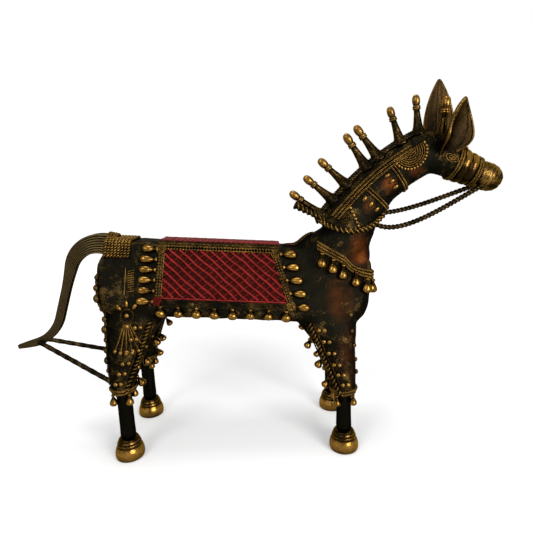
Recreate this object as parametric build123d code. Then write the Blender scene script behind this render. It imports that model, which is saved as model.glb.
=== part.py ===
"""A lost-wax brass horse: clay core, cast skin, and the wax threads, bells and pegs laid on it.

Millimetres. +X runs to the head, +Y to the horse's left, +Z up, hoof soles at zero height.
The horse is drawn about the middle of its four hooves and moved at the end, so that the
origin lies under the middle of its length.
"""
from build123d import *
from math import atan2, cos, degrees, hypot, pi, radians, sin, tan
import os

# Stance
HOOF_SPACING = 134.0
HOOF_TRACK = 50.0
HOOF_HEIGHT = 13.0
HOOF_DIAMETER = 18.0
HOOF_NECK_DIAMETER = 12.0
HOOF_RIM = 3.5
HOOF_SIDES = 24
SHANK_DIAMETER = 9.2
HIND_HEM_HEIGHT = 44.0
FORE_HEM_HEIGHT = 38.0

# Upper legs, cut like wide trousers
HEM_DIAMETER = 15.0
LEG_RISE = 44.0
LEG_TOP_LENGTH = 38.0
LEG_TOP_WIDTH = 22.0
LEG_TOP_SHIFT = 9.0
LEG_BULGE = 1.6
LEG_TUCK = 5.5
LEG_ROOT = 16.0
LEG_STEPS = 3

# Trunk, a barrel with leaning sides, pitched so that the croup stands higher than the withers
RUMP_REACH = 13.0
CHEST_REACH = 20.0
TRUNK_WIDTH = 50.0
TRUNK_BACK_WIDTH = 20.0
TRUNK_HEIGHT = 43.0
TRUNK_MIDDLE_HEIGHT = 106.5
WAIST_SHARE = 0.36
TRUNK_PITCH = 4.5
BACK_RADIUS = 2.0
BELLY_RADIUS = 4.5
RUMP_RADIUS = 18.0
BUTTOCK_RADIUS = 14.0
WITHERS_RADIUS = 12.0
CHEST_RADIUS = 15.0
SHOULDER_RADIUS = 19.0
HIP_RADIUS = 13.0
SKIN_THICKNESS = 2.6

# Neck, bent to one arc
NECK_SETBACK = 5.5
NECK_BASE_HEIGHT = 134.0
NECK_BASE_ANGLE = 62.0
NECK_POLL_ANGLE = 24.0
NECK_BEND = 100.0
NECK_BASE_DEPTH = 36.0
NECK_POLL_DEPTH = 25.0
NECK_BASE_WIDTH = 32.0
NECK_POLL_WIDTH = 19.0
NECK_ROOT = 30.0
NECK_FLARE = 6.0
NECK_STEPS = 4

# Head and muzzle along one straight axis
HEAD_RISE = 2.6
HEAD_ANGLE = -23.5
HEAD_ROOT = 6.0
HEAD_CHEEK = 14.0
HEAD_LENGTH = 37.5
HEAD_ROOT_SIZE = (17.0, 14.0)
HEAD_POLL_SIZE = (25.0, 20.0)
HEAD_CHEEK_SIZE = (21.0, 19.0)
HEAD_NOSE_SIZE = (15.6, 14.0)
MUZZLE_LENGTH = 16.0
MUZZLE_SWELL_SIZE = (17.0, 15.6)
MUZZLE_LIP_SIZE = (13.0, 11.6)
MUZZLE_TIP_SIZE = (7.5, 7.0)
NOSTRIL_DIAMETER = 2.2
NOSTRIL_DEPTH = 2.0
MOUTH_GAP = 0.9
MOUTH_LENGTH = 7.5

# Ears, two curled leaves that the maker set differently
EAR_WIDTH = 15.0
EAR_CURL_RADIUS = 9.0
EAR_THICKNESS = 1.9
EAR_DEPTH = 6.0
EAR_LEFT_LENGTH = 45.0
EAR_RIGHT_LENGTH = 35.0
EAR_STATION = 12.0
EAR_RISE = 2.5
EAR_SPREAD = 5.5
EAR_LEFT_LEAN = (2.0, 6.0)
EAR_RIGHT_LEAN = (7.0, 12.0)
EAR_FACING = 26.0

# Mane: a ridge, turned pegs, and threads beside the ridge
RIDGE_HEIGHT = 2.6
RIDGE_LIP = 0.4
RIDGE_CHAMFER = 1.2
RIDGE_END = 1.06
PEG_LENGTH = 21.0
PEG_FOOT_DIAMETER = 5.2
PEG_NECK_DIAMETER = 3.6
PEG_COLLAR_DIAMETER = 5.6
PEG_KNOB_DIAMETER = 6.0
PEG_KNOB_LENGTH = 6.5
PEG_SINK = 3.0
PEG_FORWARD_LEAN = 15.0
PEG_SPOTS = (0.02, 0.17, 0.33, 0.54, 0.66, 0.87, 1.03)
PEG_SIDES = 6
FORELOCK_STATION = 7.0
FORELOCK_LENGTH = 24.0
MANE_CORD_COUNT = 3
MANE_CORD_WIDTH = 1.4
MANE_CORD_GAP = 0.35
MANE_CORD_INSET = 4.0
MANE_CORD_SPAN = (0.05, 0.88)

# Straps, cords and rings lying on the skin
STRAP_WIDTH = 2.6
STRAP_GAP = 0.3
BAND_SIDES = 14
STRAP_PROUD = 1.3
LOWER_STRAP_SPOT = 0.40
UPPER_STRAP_SPOT = 0.68
MEDALLION_SPOT = 0.84
MEDALLION_RADIUS = 9.5
MEDALLION_RISE = 6.0
BROWBAND_STATION = 22.0
NOSEBAND_STATION = 29.5
MUZZLE_BAND_STATION = 35.0
EYE_STATION = 16.0
EYE_LENGTH = 8.0
EYE_HEIGHT = 5.4
EYE_THREAD = 1.3
EYE_SIDES = 10
COLLAR_WIDTH = 5.0
COLLAR_PROUD = 2.0
COLLAR_SLOPE = 26.5
COLLAR_DROP = 4.8

# Reins of twisted thread
REIN_DIAMETER = 3.2
REIN_SIDES = 8
REIN_MOUTH_STATION = 6.0
REIN_MOUTH_DROP = 5.0
REIN_MOUTH_SPREAD = 4.0
REIN_BOW = 2.5
REIN_LEFT_SPOT = 0.3
REIN_RIGHT_SPOT = 0.2
REIN_LEFT_SAG = 4.0
REIN_RIGHT_SAG = 5.5
LOOP_WIDTH = 3.4
LOOP_PROUD = 1.8
LOOP_RADIUS = 26.0
LOOP_RISE = 0.5
LOOP_HANG = 9.5
LOOP_FORWARD = 8.0
REIN_TAIL_LENGTH = 19.0
REIN_TAIL_DIAMETER = 4.4
REIN_TAIL_OFFSET = 5.6
REIN_TAIL_ANGLE = 151.0

# Saddle cloth: a lattice of threads in a braided frame
SADDLE_REAR = -42.5
SADDLE_TOP_LENGTH = 64.0
SADDLE_BOTTOM_LENGTH = 74.0
SADDLE_HEIGHT = 29.0
SADDLE_TOP_BORDER = 2.4
SADDLE_BOTTOM_BORDER = 5.4
SADDLE_END_BORDER = 4.4
SADDLE_BORDER_PROUD = 2.0
LATTICE_PITCH = 6.2
LATTICE_SLOPE = 40.0
LATTICE_RIB = 0.9
LATTICE_PROUD = 1.7
LATTICE_BACK = 0.6
SADDLE_TOP_PROUD = 1.2
ROSETTE_DIAMETER = 6.4
ROSETTE_PROUD = 1.2
ROSETTE_SIDES = 8

# Bells, cast solid as drops
BELL_LENGTH = 7.0
BELL_DIAMETER = 5.4
BELL_STEM_DIAMETER = 2.4
BELL_SIDES = 6
BELL_SINK = 0.7
BELLY_BELL_COUNT = 8
REAR_BELL_COUNT = 6
FRONT_BELL_COUNT = 5
COLLAR_SIDE_BELLS = 2
COLLAR_BELL_PITCH = 6.5
COLLAR_CHEST_BELLS = 5
COLLAR_CHEST_ARC = (90.0, 4.0)
HEM_BELL_COUNT = 4
HEM_BELL_LENGTH = 6.0
HEM_BELL_DIAMETER = 4.2
HEM_BELL_GAP = 0.2
LEG_BELL_SHARES = (0.2, 0.48, 0.74)
LEG_BELL_HANG = 1.6

# Leg braids and the flower on each thigh
BRAID_WIDTH = 2.6
BRAID_PROUD = 1.3
BRAID_LOW_OFFSET = 3.0
BRAID_HIGH_OFFSET = 20.0
FLOWER_RING_DIAMETER = 9.0
FLOWER_BOSS_DIAMETER = 3.6
FLOWER_THREAD = 1.2
FLOWER_SIDES = 8
PETAL_SIDES = 6
FLOWER_PROUD = 1.4
FLOWER_WRAP = 6.0
FLOWER_RISE = 47.0
FLOWER_FORWARD = 7.0
FAN_THREADS = 6
FAN_LENGTH = 17.0
PETAL_LENGTH = 5.0
PETAL_SPREAD = 40.0
FAN_SPREAD = 42.0

# Tail, a flat sheaf of strands, and the two stays that prop it
TAIL_ROOT_INSET = 9.0
TAIL_ROOT_DROP = 5.0
TAIL_ROOT_ANGLE = 162.0
TAIL_HANG_ANGLE = 248.0
TAIL_TIP_ANGLE = 188.0
TAIL_ARCH_RADIUS = 26.0
TAIL_HANG_LENGTH = 34.0
TAIL_FLICK_RADIUS = 24.0
TAIL_TIP_LENGTH = 9.0
TAIL_ROOT_DEPTH = 14.5
TAIL_HANG_DEPTH = 6.6
TAIL_TIP_SIZE = 1.2
TAIL_ROOT_WIDTH = 11.0
TAIL_HANG_WIDTH = 9.0
TAIL_STRANDS = 8
TAIL_GROOVE = 0.16
TAIL_GATHER = 0.62
TAIL_POINT = 0.78
TAIL_STEPS = 14
BINDING_LENGTH = 9.0
BINDING_PROUD = 1.2
BINDING_START = 2.0
STAY_DIAMETER = 3.2
STAY_HEM_RISE = 3.0
STAY_TAIL_SHARE = 0.8

HIND_X = -HOOF_SPACING / 2
FORE_X = HOOF_SPACING / 2
HOOF_Y = HOOF_TRACK / 2
RIDGE_WIDTH = PEG_FOOT_DIAMETER + 2 * RIDGE_LIP
TRUNK_LENGTH = HOOF_SPACING + RUMP_REACH + CHEST_REACH
TRUNK_MIDDLE_X = (CHEST_REACH - RUMP_REACH) / 2
TRUNK_PLACE = Pos(TRUNK_MIDDLE_X, 0, TRUNK_MIDDLE_HEIGHT) * Rot(0, TRUNK_PITCH, 0)
SIDE_Y = TRUNK_WIDTH / 2
BACK_Z = TRUNK_HEIGHT / 2
WAIST_DROP = WAIST_SHARE * TRUNK_HEIGHT
LEAN_RUN = (TRUNK_WIDTH - TRUNK_BACK_WIDTH) / 2
LEAN_RISE = BACK_Z + WAIST_DROP
SIDE_LEAN = degrees(atan2(LEAN_RUN, LEAN_RISE))
SIDE_PLACE = TRUNK_PLACE * Pos(0, SIDE_Y, -WAIST_DROP) * Rot(SIDE_LEAN, 0, 0)
COLLAR_X = FORE_X - TRUNK_MIDDLE_X
FAR = 4 * TRUNK_WIDTH

nodes = {}


def solids_of(shape):
    """The solids of any result of a cut, a common or a list."""
    if isinstance(shape, (list, tuple)):
        return [solid for item in shape for solid in solids_of(item)]
    return list(shape.solids())


def apart(first, second):
    """Whether two solids' boxes lie clear of each other."""
    one = first.bounding_box(optimal=False)
    two = second.bounding_box(optimal=False)
    lows = zip(tuple(one.min), tuple(two.max))
    highs = zip(tuple(two.min), tuple(one.max))
    return any(low > high for low, high in (*lows, *highs))


def cut(shape, *tools):
    """The solids of a shape, each less the tools that reach it."""
    cutters = solids_of(tools)
    kept = []
    for solid in solids_of(shape):
        reaching = [cutter for cutter in cutters if not apart(solid, cutter)]
        kept += solids_of(solid.cut(*reaching)) if reaching else [solid]
    return kept


def common(shape, tool):
    """What a shape shares with one tool, as solids."""
    return [piece for solid in solids_of(shape) for piece in solids_of(solid & tool)]


def largest(shape):
    """The main solid of a cut, without crumbs left in hollows."""
    return max(solids_of(shape), key=lambda solid: solid.volume)


def to_right(shape):
    """The same solids on the horse's right side."""
    return [mirror(solid, about=Plane.XZ) for solid in solids_of(shape)]


def heading_plane(x, z, angle):
    """A plane across a path in the middle plane: local x points up from the path."""
    turn = radians(angle)
    ahead = (cos(turn), 0, sin(turn))
    upward = (-sin(turn), 0, cos(turn))
    return Plane(origin=(x, 0, z), x_dir=upward, z_dir=ahead)


def tapered_prism(stations, sides):
    """A turned form with flat sides, through (height, diameter) stations along +Z."""
    turns = [radians(360 * index / sides) for index in range(sides)]
    rings = []
    for height, size in stations:
        rings.append([(size / 2 * cos(turn), size / 2 * sin(turn), height) for turn in turns])
    outlines = [rings[0], rings[-1]]
    for lower, upper in zip(rings, rings[1:]):
        for index in range(sides):
            outlines.append((lower[index - 1], lower[index], upper[index], upper[index - 1]))
    return Solid(Shell([Face(Wire.make_polygon(outline)) for outline in outlines]))


def along(start, direction):
    """A place whose +Z runs along a direction."""
    return Plane(origin=start, z_dir=direction).location


def rounded(outline, toward, radius):
    """A flat outline with the corner that lies furthest one way rounded."""
    reach = Axis((0, 0, 0), (toward[0], toward[1], 0))
    return fillet(outline.vertices().sort_by(reach)[-1], radius)


def oval(half_depth, half_width):
    """An oval with flat sides, drawn round the outside of an ellipse."""
    grow = 1 / cos(pi / BAND_SIDES)
    rim = []
    for index in range(BAND_SIDES):
        turn = 2 * pi * index / BAND_SIDES
        rim.append((grow * half_depth * cos(turn), grow * half_width * sin(turn)))
    return make_face(Polyline(*rim, close=True))


def trunk_block(inset):
    """The body block: three outlines carved through one another."""
    length = TRUNK_LENGTH - 2 * inset
    width = TRUNK_WIDTH - 2 * inset
    height = TRUNK_HEIGHT - 2 * inset
    waist = -WAIST_DROP - inset * tan(radians(SIDE_LEAN) / 2)
    edge = width / 2 - (height / 2 - waist) * tan(radians(SIDE_LEAN))
    half = ((edge, height / 2), (width / 2, waist), (width / 2, -height / 2))
    across = make_face(Polyline(*half, *[(-y, z) for y, z in reversed(half)], close=True))
    plan = Rectangle(length, width)
    for sign in (-1, 1):
        across = rounded(across, (sign, 1), BACK_RADIUS)
        across = rounded(across, (sign, -1), BELLY_RADIUS - inset)
        plan = rounded(plan, (-1, sign), HIP_RADIUS)
        plan = rounded(plan, (1, sign), SHOULDER_RADIUS)
    side = Rectangle(length, height)
    side = rounded(side, (-1, 1), RUMP_RADIUS)
    side = rounded(side, (-1, -1), BUTTOCK_RADIUS)
    side = rounded(side, (1, -1), CHEST_RADIUS)
    side = rounded(side, (1, 1), WITHERS_RADIUS)
    block = extrude(Plane.YZ * across, amount=length, both=True)
    block &= extrude(plan, amount=height, both=True)
    block &= extrude(Plane.XZ * side, amount=width, both=True)
    return TRUNK_PLACE * block.solid()


def neck_path(spot):
    """Place and heading on the neck's arc, from 0 at the withers to 1 at the poll."""
    angle = NECK_BASE_ANGLE + (NECK_POLL_ANGLE - NECK_BASE_ANGLE) * spot
    base = radians(NECK_BASE_ANGLE)
    turn = radians(angle)
    x = FORE_X + NECK_SETBACK + NECK_BEND * (sin(base) - sin(turn))
    z = NECK_BASE_HEIGHT + NECK_BEND * (cos(turn) - cos(base))
    return x, z, angle


def neck_size(spot):
    """Depth and width of the neck at a spot of its arc."""
    rest = max(1 - spot, 0)
    depth = NECK_POLL_DEPTH + (NECK_BASE_DEPTH - NECK_POLL_DEPTH) * rest**3
    width = NECK_POLL_WIDTH + (NECK_BASE_WIDTH - NECK_POLL_WIDTH) * rest**2.5
    return depth, width


def neck_form(proud):
    """The neck through ellipses on its arc, rooted inside the trunk."""
    rings = []
    for share in (1, 0.5):
        plane = heading_plane(*neck_path(0)).offset(-share * NECK_ROOT)
        reach = NECK_BASE_DEPTH / 2 + share * NECK_FLARE + proud
        rings.append(plane * Ellipse(reach, NECK_BASE_WIDTH / 2 + proud))
    for step in range(NECK_STEPS + 1):
        spot = step / NECK_STEPS
        depth, width = neck_size(spot)
        plane = heading_plane(*neck_path(spot))
        rings.append(plane * Ellipse(depth / 2 + proud, width / 2 + proud))
    return loft(rings, ruled=True)


def head_plane(station):
    """A plane across the head's axis, a distance from the poll."""
    poll = heading_plane(*neck_path(1))
    start = poll.origin + poll.x_dir * HEAD_RISE
    return heading_plane(start.X, start.Z, HEAD_ANGLE).offset(station)


def head_form(proud):
    """The head from the poll to the noseband."""
    stations = (-HEAD_ROOT, 0, HEAD_CHEEK, HEAD_LENGTH)
    sizes = (HEAD_ROOT_SIZE, HEAD_POLL_SIZE, HEAD_CHEEK_SIZE, HEAD_NOSE_SIZE)
    rings = []
    for station, (depth, width) in zip(stations, sizes):
        rings.append(head_plane(station) * Ellipse(depth / 2 + proud, width / 2 + proud))
    return loft(rings, ruled=True)


def muzzle_form():
    """The polished muzzle, with its nostrils and the slit of its mouth."""
    shares = (0, 0.42, 0.8, 1)
    sizes = (HEAD_NOSE_SIZE, MUZZLE_SWELL_SIZE, MUZZLE_LIP_SIZE, MUZZLE_TIP_SIZE)
    rings = []
    for share, (depth, width) in zip(shares, sizes):
        plane = head_plane(HEAD_LENGTH + share * MUZZLE_LENGTH)
        rings.append(plane * oval(depth / 2, width / 2))
    muzzle = loft(rings, ruled=True)
    tip = head_plane(HEAD_LENGTH + MUZZLE_LENGTH)
    lip_depth, lip_width = MUZZLE_LIP_SIZE
    slit = Box(MOUTH_GAP, FAR, 2 * MOUTH_LENGTH)
    tools = [tip * (Pos(-lip_depth / 4, 0, 0) * slit)]
    for sign in (-1, 1):
        hole = extrude(RegularPolygon(NOSTRIL_DIAMETER / 2, PEG_SIDES), amount=NOSTRIL_DEPTH, both=True)
        place = Pos(lip_depth / 5, sign * lip_width / 4, -MUZZLE_LENGTH / 10)
        tools.append(tip * (place * hole))
    return cut(muzzle, *tools)


def leg_station(hem_x, hem_z, share):
    """Middle and size of an upper leg, from 0 at its hem to 1 at its full width."""
    inward = -1 if hem_x > 0 else 1
    top_y = SIDE_Y + LEG_BULGE - LEG_TOP_WIDTH / 2
    x = hem_x + inward * LEG_TOP_SHIFT * share**2
    y = HOOF_Y + (top_y - HOOF_Y) * share
    z = hem_z + LEG_RISE * share
    length = HEM_DIAMETER + (LEG_TOP_LENGTH - HEM_DIAMETER) * share**2
    width = HEM_DIAMETER + (LEG_TOP_WIDTH - HEM_DIAMETER) * share
    return x, y, z, length, width


def leg_form(hem_x, hem_z, proud):
    """A left upper leg from its hem to a root inside the trunk."""
    rings = []
    for step in range(LEG_STEPS + 1):
        x, y, z, length, width = leg_station(hem_x, hem_z, step / LEG_STEPS)
        rings.append(Pos(x, y, z) * Ellipse(length / 2 + proud, width / 2 + proud))
    x, y, z, length, width = leg_station(hem_x, hem_z, 1)
    place = Pos(x, y - LEG_BULGE - LEG_TUCK, z + LEG_ROOT)
    rings.append(place * Ellipse(length / 2 + proud, width / 2 + proud))
    return loft(rings, ruled=True)


def hoof(hem_x):
    """A left hoof: a rim, a flare and a throat that takes the shank."""
    sole = HOOF_DIAMETER - 2 * HOOF_RIM / 3
    stations = ((0, sole), (HOOF_RIM, HOOF_DIAMETER), (HOOF_HEIGHT, HOOF_NECK_DIAMETER))
    return Pos(hem_x, HOOF_Y, 0) * tapered_prism(stations, HOOF_SIDES)


def shank(hem_x, hem_z):
    """A left lower leg, from the hoof's throat to the hem."""
    length = hem_z - HOOF_HEIGHT
    return Pos(hem_x, HOOF_Y, HOOF_HEIGHT + length / 2) * Cylinder(SHANK_DIAMETER / 2, length)


def ear(side, length, lean):
    """A curled leaf: a leaf outline through the wall of a tube. side is 1 on the left."""
    seat = head_plane(EAR_STATION)
    root = seat.origin + seat.x_dir * EAR_RISE + Vector(0, side * EAR_SPREAD, 0)
    growth = Vector(lean[0], side * lean[1], length).normalized()
    turn = radians(EAR_FACING)
    outward = Vector(sin(turn), side * cos(turn), 0)
    facing = (outward - growth * outward.dot(growth)).normalized()
    leaf_plane = Plane(origin=root, x_dir=growth.cross(facing), z_dir=facing)
    belly = (EAR_WIDTH / 2, 0.4 * length)
    right = ThreePointArc((0, 0), belly, (0, length))
    left = ThreePointArc((0, length), (-belly[0], belly[1]), (0, 0))
    leaf = extrude(make_face(right + left), amount=EAR_DEPTH)
    tube = Cylinder(EAR_CURL_RADIUS, 3 * length) - Cylinder(EAR_CURL_RADIUS - EAR_THICKNESS, 3 * length)
    wall = Pos(0, 0, EAR_CURL_RADIUS) * Rot(90, 0, 0) * tube
    return leaf_plane * (leaf & wall)


def peg(length):
    """A turned peg with a collar and a knob, standing on its foot."""
    collar = length - PEG_KNOB_LENGTH
    stations = (
        (0, PEG_FOOT_DIAMETER),
        (collar - 2, PEG_NECK_DIAMETER),
        (collar - 1, PEG_COLLAR_DIAMETER),
        (collar, PEG_NECK_DIAMETER),
        (collar + 0.45 * PEG_KNOB_LENGTH, PEG_KNOB_DIAMETER),
        (length, PEG_NECK_DIAMETER / 2),
    )
    return tapered_prism(stations, PEG_SIDES)


def crest_place(spot):
    """Where a peg stands on the neck's crest, and which way it points."""
    x, z, angle = neck_path(spot)
    depth, _ = neck_size(spot)
    plane = heading_plane(x, z, angle)
    foot = plane.origin + plane.x_dir * (depth / 2)
    lean = radians(angle + 90 - PEG_FORWARD_LEAN)
    return along(foot, (cos(lean), 0, sin(lean)))


def ridge_form():
    """The mane's ridge along the crest."""
    rings = []
    for spot in spread(0, RIDGE_END, NECK_STEPS + 1):
        depth, _ = neck_size(spot)
        plane = heading_plane(*neck_path(spot))
        crest = Plane(plane.origin + plane.x_dir * (depth / 2), plane.x_dir, plane.z_dir)
        section = Rectangle(2 * RIDGE_HEIGHT, RIDGE_WIDTH)
        rings.append(crest * chamfer(section.vertices().group_by(Axis.X)[-1], RIDGE_CHAMFER))
    return loft(rings, ruled=True)


def across_both(face):
    """A flat outline in the middle plane, carried through the whole width of the horse."""
    return extrude(face, amount=FAR, both=True)


def thread_strip(start, end, width):
    """A straight strip in the middle plane between two (x, z) points."""
    run = Vector(end[0] - start[0], 0, end[1] - start[1])
    middle = ((start[0] + end[0]) / 2, 0, (start[1] + end[1]) / 2)
    plane = Plane(origin=middle, x_dir=run, z_dir=(0, -1, 0))
    return plane * Rectangle(run.length, width)


def bell(length=BELL_LENGTH, diameter=BELL_DIAMETER):
    """A drop that hangs from its stem along +Z."""
    stations = ((0, BELL_STEM_DIAMETER), (0.7 * length, diameter), (length, diameter / 2))
    return tapered_prism(stations, BELL_SIDES)


def spread(first, last, count):
    """Evenly spaced values, both ends included."""
    return [first + (last - first) * index / (count - 1) for index in range(count)]


def tail_line():
    """The tail's middle line: an arch off the rump, a straight hang and a flick to the tip."""
    root = TRUNK_PLACE * Pos(TAIL_ROOT_INSET - TRUNK_LENGTH / 2, 0, BACK_Z - TAIL_ROOT_DROP)
    heading = radians(TAIL_ROOT_ANGLE)
    start = (root.position.X, root.position.Z)
    toward = (cos(heading), sin(heading))
    arch = JernArc(start, toward, TAIL_ARCH_RADIUS, TAIL_HANG_ANGLE - TAIL_ROOT_ANGLE)
    hang = Line(arch @ 1, arch @ 1 + (arch % 1) * TAIL_HANG_LENGTH)
    flick = JernArc(hang @ 1, hang % 1, TAIL_FLICK_RADIUS, TAIL_TIP_ANGLE - TAIL_HANG_ANGLE)
    tip = Line(flick @ 1, flick @ 1 + (flick % 1) * TAIL_TIP_LENGTH)
    return Plane.XZ * Wire([arch.edge(), hang.edge(), flick.edge(), tip.edge()])


def tail_at(line, share):
    """Plane, depth and width of the tail, at a share of its length."""
    point = line.position_at(share)
    ahead = line.tangent_at(share)
    gathered = min(share / TAIL_GATHER, 1)
    pointed = max(share - TAIL_POINT, 0) / (1 - TAIL_POINT)
    depth = TAIL_ROOT_DEPTH + (TAIL_HANG_DEPTH - TAIL_ROOT_DEPTH) * gathered
    width = TAIL_ROOT_WIDTH + (TAIL_HANG_WIDTH - TAIL_ROOT_WIDTH) * gathered
    depth += (TAIL_TIP_SIZE - depth) * pointed
    width += (TAIL_TIP_SIZE - width) * pointed
    return heading_plane(point.X, point.Z, degrees(atan2(ahead.Z, ahead.X))), depth, width


def tail_form():
    """A sheaf of strands: sections scalloped once for every strand, along the tail's line."""
    line = tail_line()
    rings = []
    for step in range(TAIL_STEPS + 1):
        plane, depth, width = tail_at(line, step / TAIL_STEPS)
        rim = []
        for index in range(2 * TAIL_STRANDS):
            angle = radians(180 * index / TAIL_STRANDS)
            reach = 1 - TAIL_GROOVE * (index % 2)
            rim.append((reach * depth / 2 * cos(angle), reach * width / 2 * sin(angle)))
        rings.append(plane * make_face(Polyline(*rim, close=True)))
    return loft(rings, ruled=True)


def binding_form():
    """The wrapped collar round the tail's root."""
    line = tail_line()
    rings = []
    for distance in spread(BINDING_START, BINDING_START + BINDING_LENGTH, 3):
        plane, depth, width = tail_at(line, distance / line.length)
        rings.append(plane * oval(depth / 2 + BINDING_PROUD, width / 2 + BINDING_PROUD))
    return loft(rings, ruled=True)


def tail_stay():
    """The left stay, from the hind leg's hem to the tail."""
    plane, _, _ = tail_at(tail_line(), STAY_TAIL_SHARE)
    tail_end = plane.origin + Vector(0, STAY_DIAMETER, 0)
    leg_end = Vector(HIND_X, HOOF_Y, HIND_HEM_HEIGHT + STAY_HEM_RISE)
    run = tail_end - leg_end
    return along(leg_end, run) * tapered_prism(((0, STAY_DIAMETER), (run.length, STAY_DIAMETER)), PEG_SIDES)


def slab(plane, thickness):
    """Everything within a thickness about a plane."""
    return plane * Box(FAR, FAR, thickness)


def band(plane, depth, width):
    """A band round an oval form: a flat ring about a plane, just clear of the form."""
    inner = oval(depth / 2, width / 2)
    outer = oval(depth / 2 + STRAP_PROUD, width / 2 + STRAP_PROUD)
    return plane * extrude(outer - inner, amount=STRAP_WIDTH / 2, both=True)


def neck_band(spot):
    """A band round the neck, sized where it crosses the thicker edge of its own width."""
    plane = heading_plane(*neck_path(spot))
    edge = spot - STRAP_WIDTH / 2 / NECK_BEND / radians(NECK_BASE_ANGLE - NECK_POLL_ANGLE)
    return band(plane, *neck_size(edge))


def head_size(station):
    """Depth and width of the head at a distance from the poll, forward of the cheek."""
    share = (station - HEAD_CHEEK) / (HEAD_LENGTH - HEAD_CHEEK)
    return [cheek + (nose - cheek) * share for cheek, nose in zip(HEAD_CHEEK_SIZE, HEAD_NOSE_SIZE)]


def head_band(station):
    """A band round the head, sized at the thicker edge of its own width."""
    return band(head_plane(station), *head_size(station - STRAP_WIDTH / 2))


def rein(side, spot, sag):
    """One rein of twisted thread: a single sagging arc from the mouth to the neck."""
    mouth = head_plane(HEAD_LENGTH + REIN_MOUTH_STATION)
    start = mouth.origin - mouth.x_dir * REIN_MOUTH_DROP + Vector(0, side * REIN_MOUTH_SPREAD, 0)
    nape = heading_plane(*neck_path(spot))
    depth, width = neck_size(spot)
    end = nape.origin - nape.x_dir * (depth / 3) + Vector(0, side * width / 4, 0)
    middle = (start + end) / 2 + Vector(0, side * REIN_BOW, -sag)
    line = ThreePointArc(start, middle, end)
    section = Plane(origin=line @ 0, z_dir=line % 0) * RegularPolygon(REIN_DIAMETER / 2, REIN_SIDES)
    return sweep(section, path=line)


def rein_loop_tool():
    """The reins' loop round the neck, seen from the side as one hanging arc."""
    middle = (FORE_X + LOOP_FORWARD, NECK_BASE_HEIGHT + LOOP_RISE + LOOP_RADIUS)
    ring = Circle(LOOP_RADIUS + LOOP_WIDTH / 2) - Circle(LOOP_RADIUS - LOOP_WIDTH / 2)
    lower = Pos(0, -LOOP_RADIUS) * Rectangle(4 * LOOP_RADIUS, 2 * LOOP_HANG)
    return across_both(Plane.XZ * (Pos(*middle) * (ring & lower)))


def crest_strip(first, last, rise, drop):
    """A strip along the crest, from a height above it to a depth below it, through both sides."""
    upper = []
    lower = []
    for spot in spread(first, last, NECK_STEPS + 1):
        plane = heading_plane(*neck_path(spot))
        crest = plane.origin + plane.x_dir * (neck_size(spot)[0] / 2)
        for edge, reach in ((upper, rise), (lower, -drop)):
            point = crest + plane.x_dir * reach
            edge.append((point.X, point.Z))
    outline = Polyline(*upper, *reversed(lower), close=True)
    return across_both(Plane.XZ * make_face(outline))


def medallion_tool():
    """A half disc on each side of the neck, its straight edge along the crest."""
    x, z, angle = neck_path(MEDALLION_SPOT)
    disc = Circle(MEDALLION_RADIUS)
    lower = Pos(0, -MEDALLION_RADIUS) * Rectangle(2 * MEDALLION_RADIUS, 2 * MEDALLION_RADIUS)
    half = Pos(0, MEDALLION_RISE) * (disc & lower)
    return across_both(Plane.XZ * (Pos(x, z) * Rot(0, 0, angle) * half))


def eye_tool():
    """An almond ring on each side of the head."""
    middle = head_plane(EYE_STATION).origin
    almonds = []
    for thread in (0, EYE_THREAD):
        rim = []
        for index in range(EYE_SIDES):
            turn = 2 * pi * index / EYE_SIDES
            rim.append(((EYE_LENGTH / 2 - thread) * cos(turn), (EYE_HEIGHT / 2 - thread) * sin(turn)))
        almonds.append(make_face(Polyline(*rim, close=True)))
    place = Pos(middle.X, middle.Z) * Rot(0, 0, HEAD_ANGLE)
    reach = HEAD_CHEEK_SIZE[1] / 2 + STRAP_PROUD
    return extrude(Plane.XZ * (place * (almonds[0] - almonds[1])), amount=reach, both=True)


def saddle_outline(end_border, top_border, bottom_border):
    """The saddle cloth's outline on the leaning side, wider below, grown by its borders."""
    top = hypot(LEAN_RUN, LEAN_RISE) - BACK_RADIUS - SADDLE_TOP_BORDER
    bottom = top - SADDLE_HEIGHT
    rear = SADDLE_REAR - end_border
    return (
        (rear, bottom - bottom_border),
        (SADDLE_REAR + SADDLE_BOTTOM_LENGTH + end_border, bottom - bottom_border),
        (SADDLE_REAR + SADDLE_TOP_LENGTH + end_border, top + top_border),
        (rear, top + top_border),
    )


def on_side(face, thickness):
    """A flat outline drawn on the trunk's leaning left side and raised from it."""
    return SIDE_PLACE * extrude(Plane.XZ * face, amount=-thickness)


def saddle_border():
    """The left braided frame."""
    outer = saddle_outline(SADDLE_END_BORDER, SADDLE_TOP_BORDER, SADDLE_BOTTOM_BORDER)
    inner = saddle_outline(0, 0, 0)
    frame = make_face(Polyline(*outer, close=True)) - make_face(Polyline(*inner, close=True))
    return on_side(frame, SADDLE_BORDER_PROUD)


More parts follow.
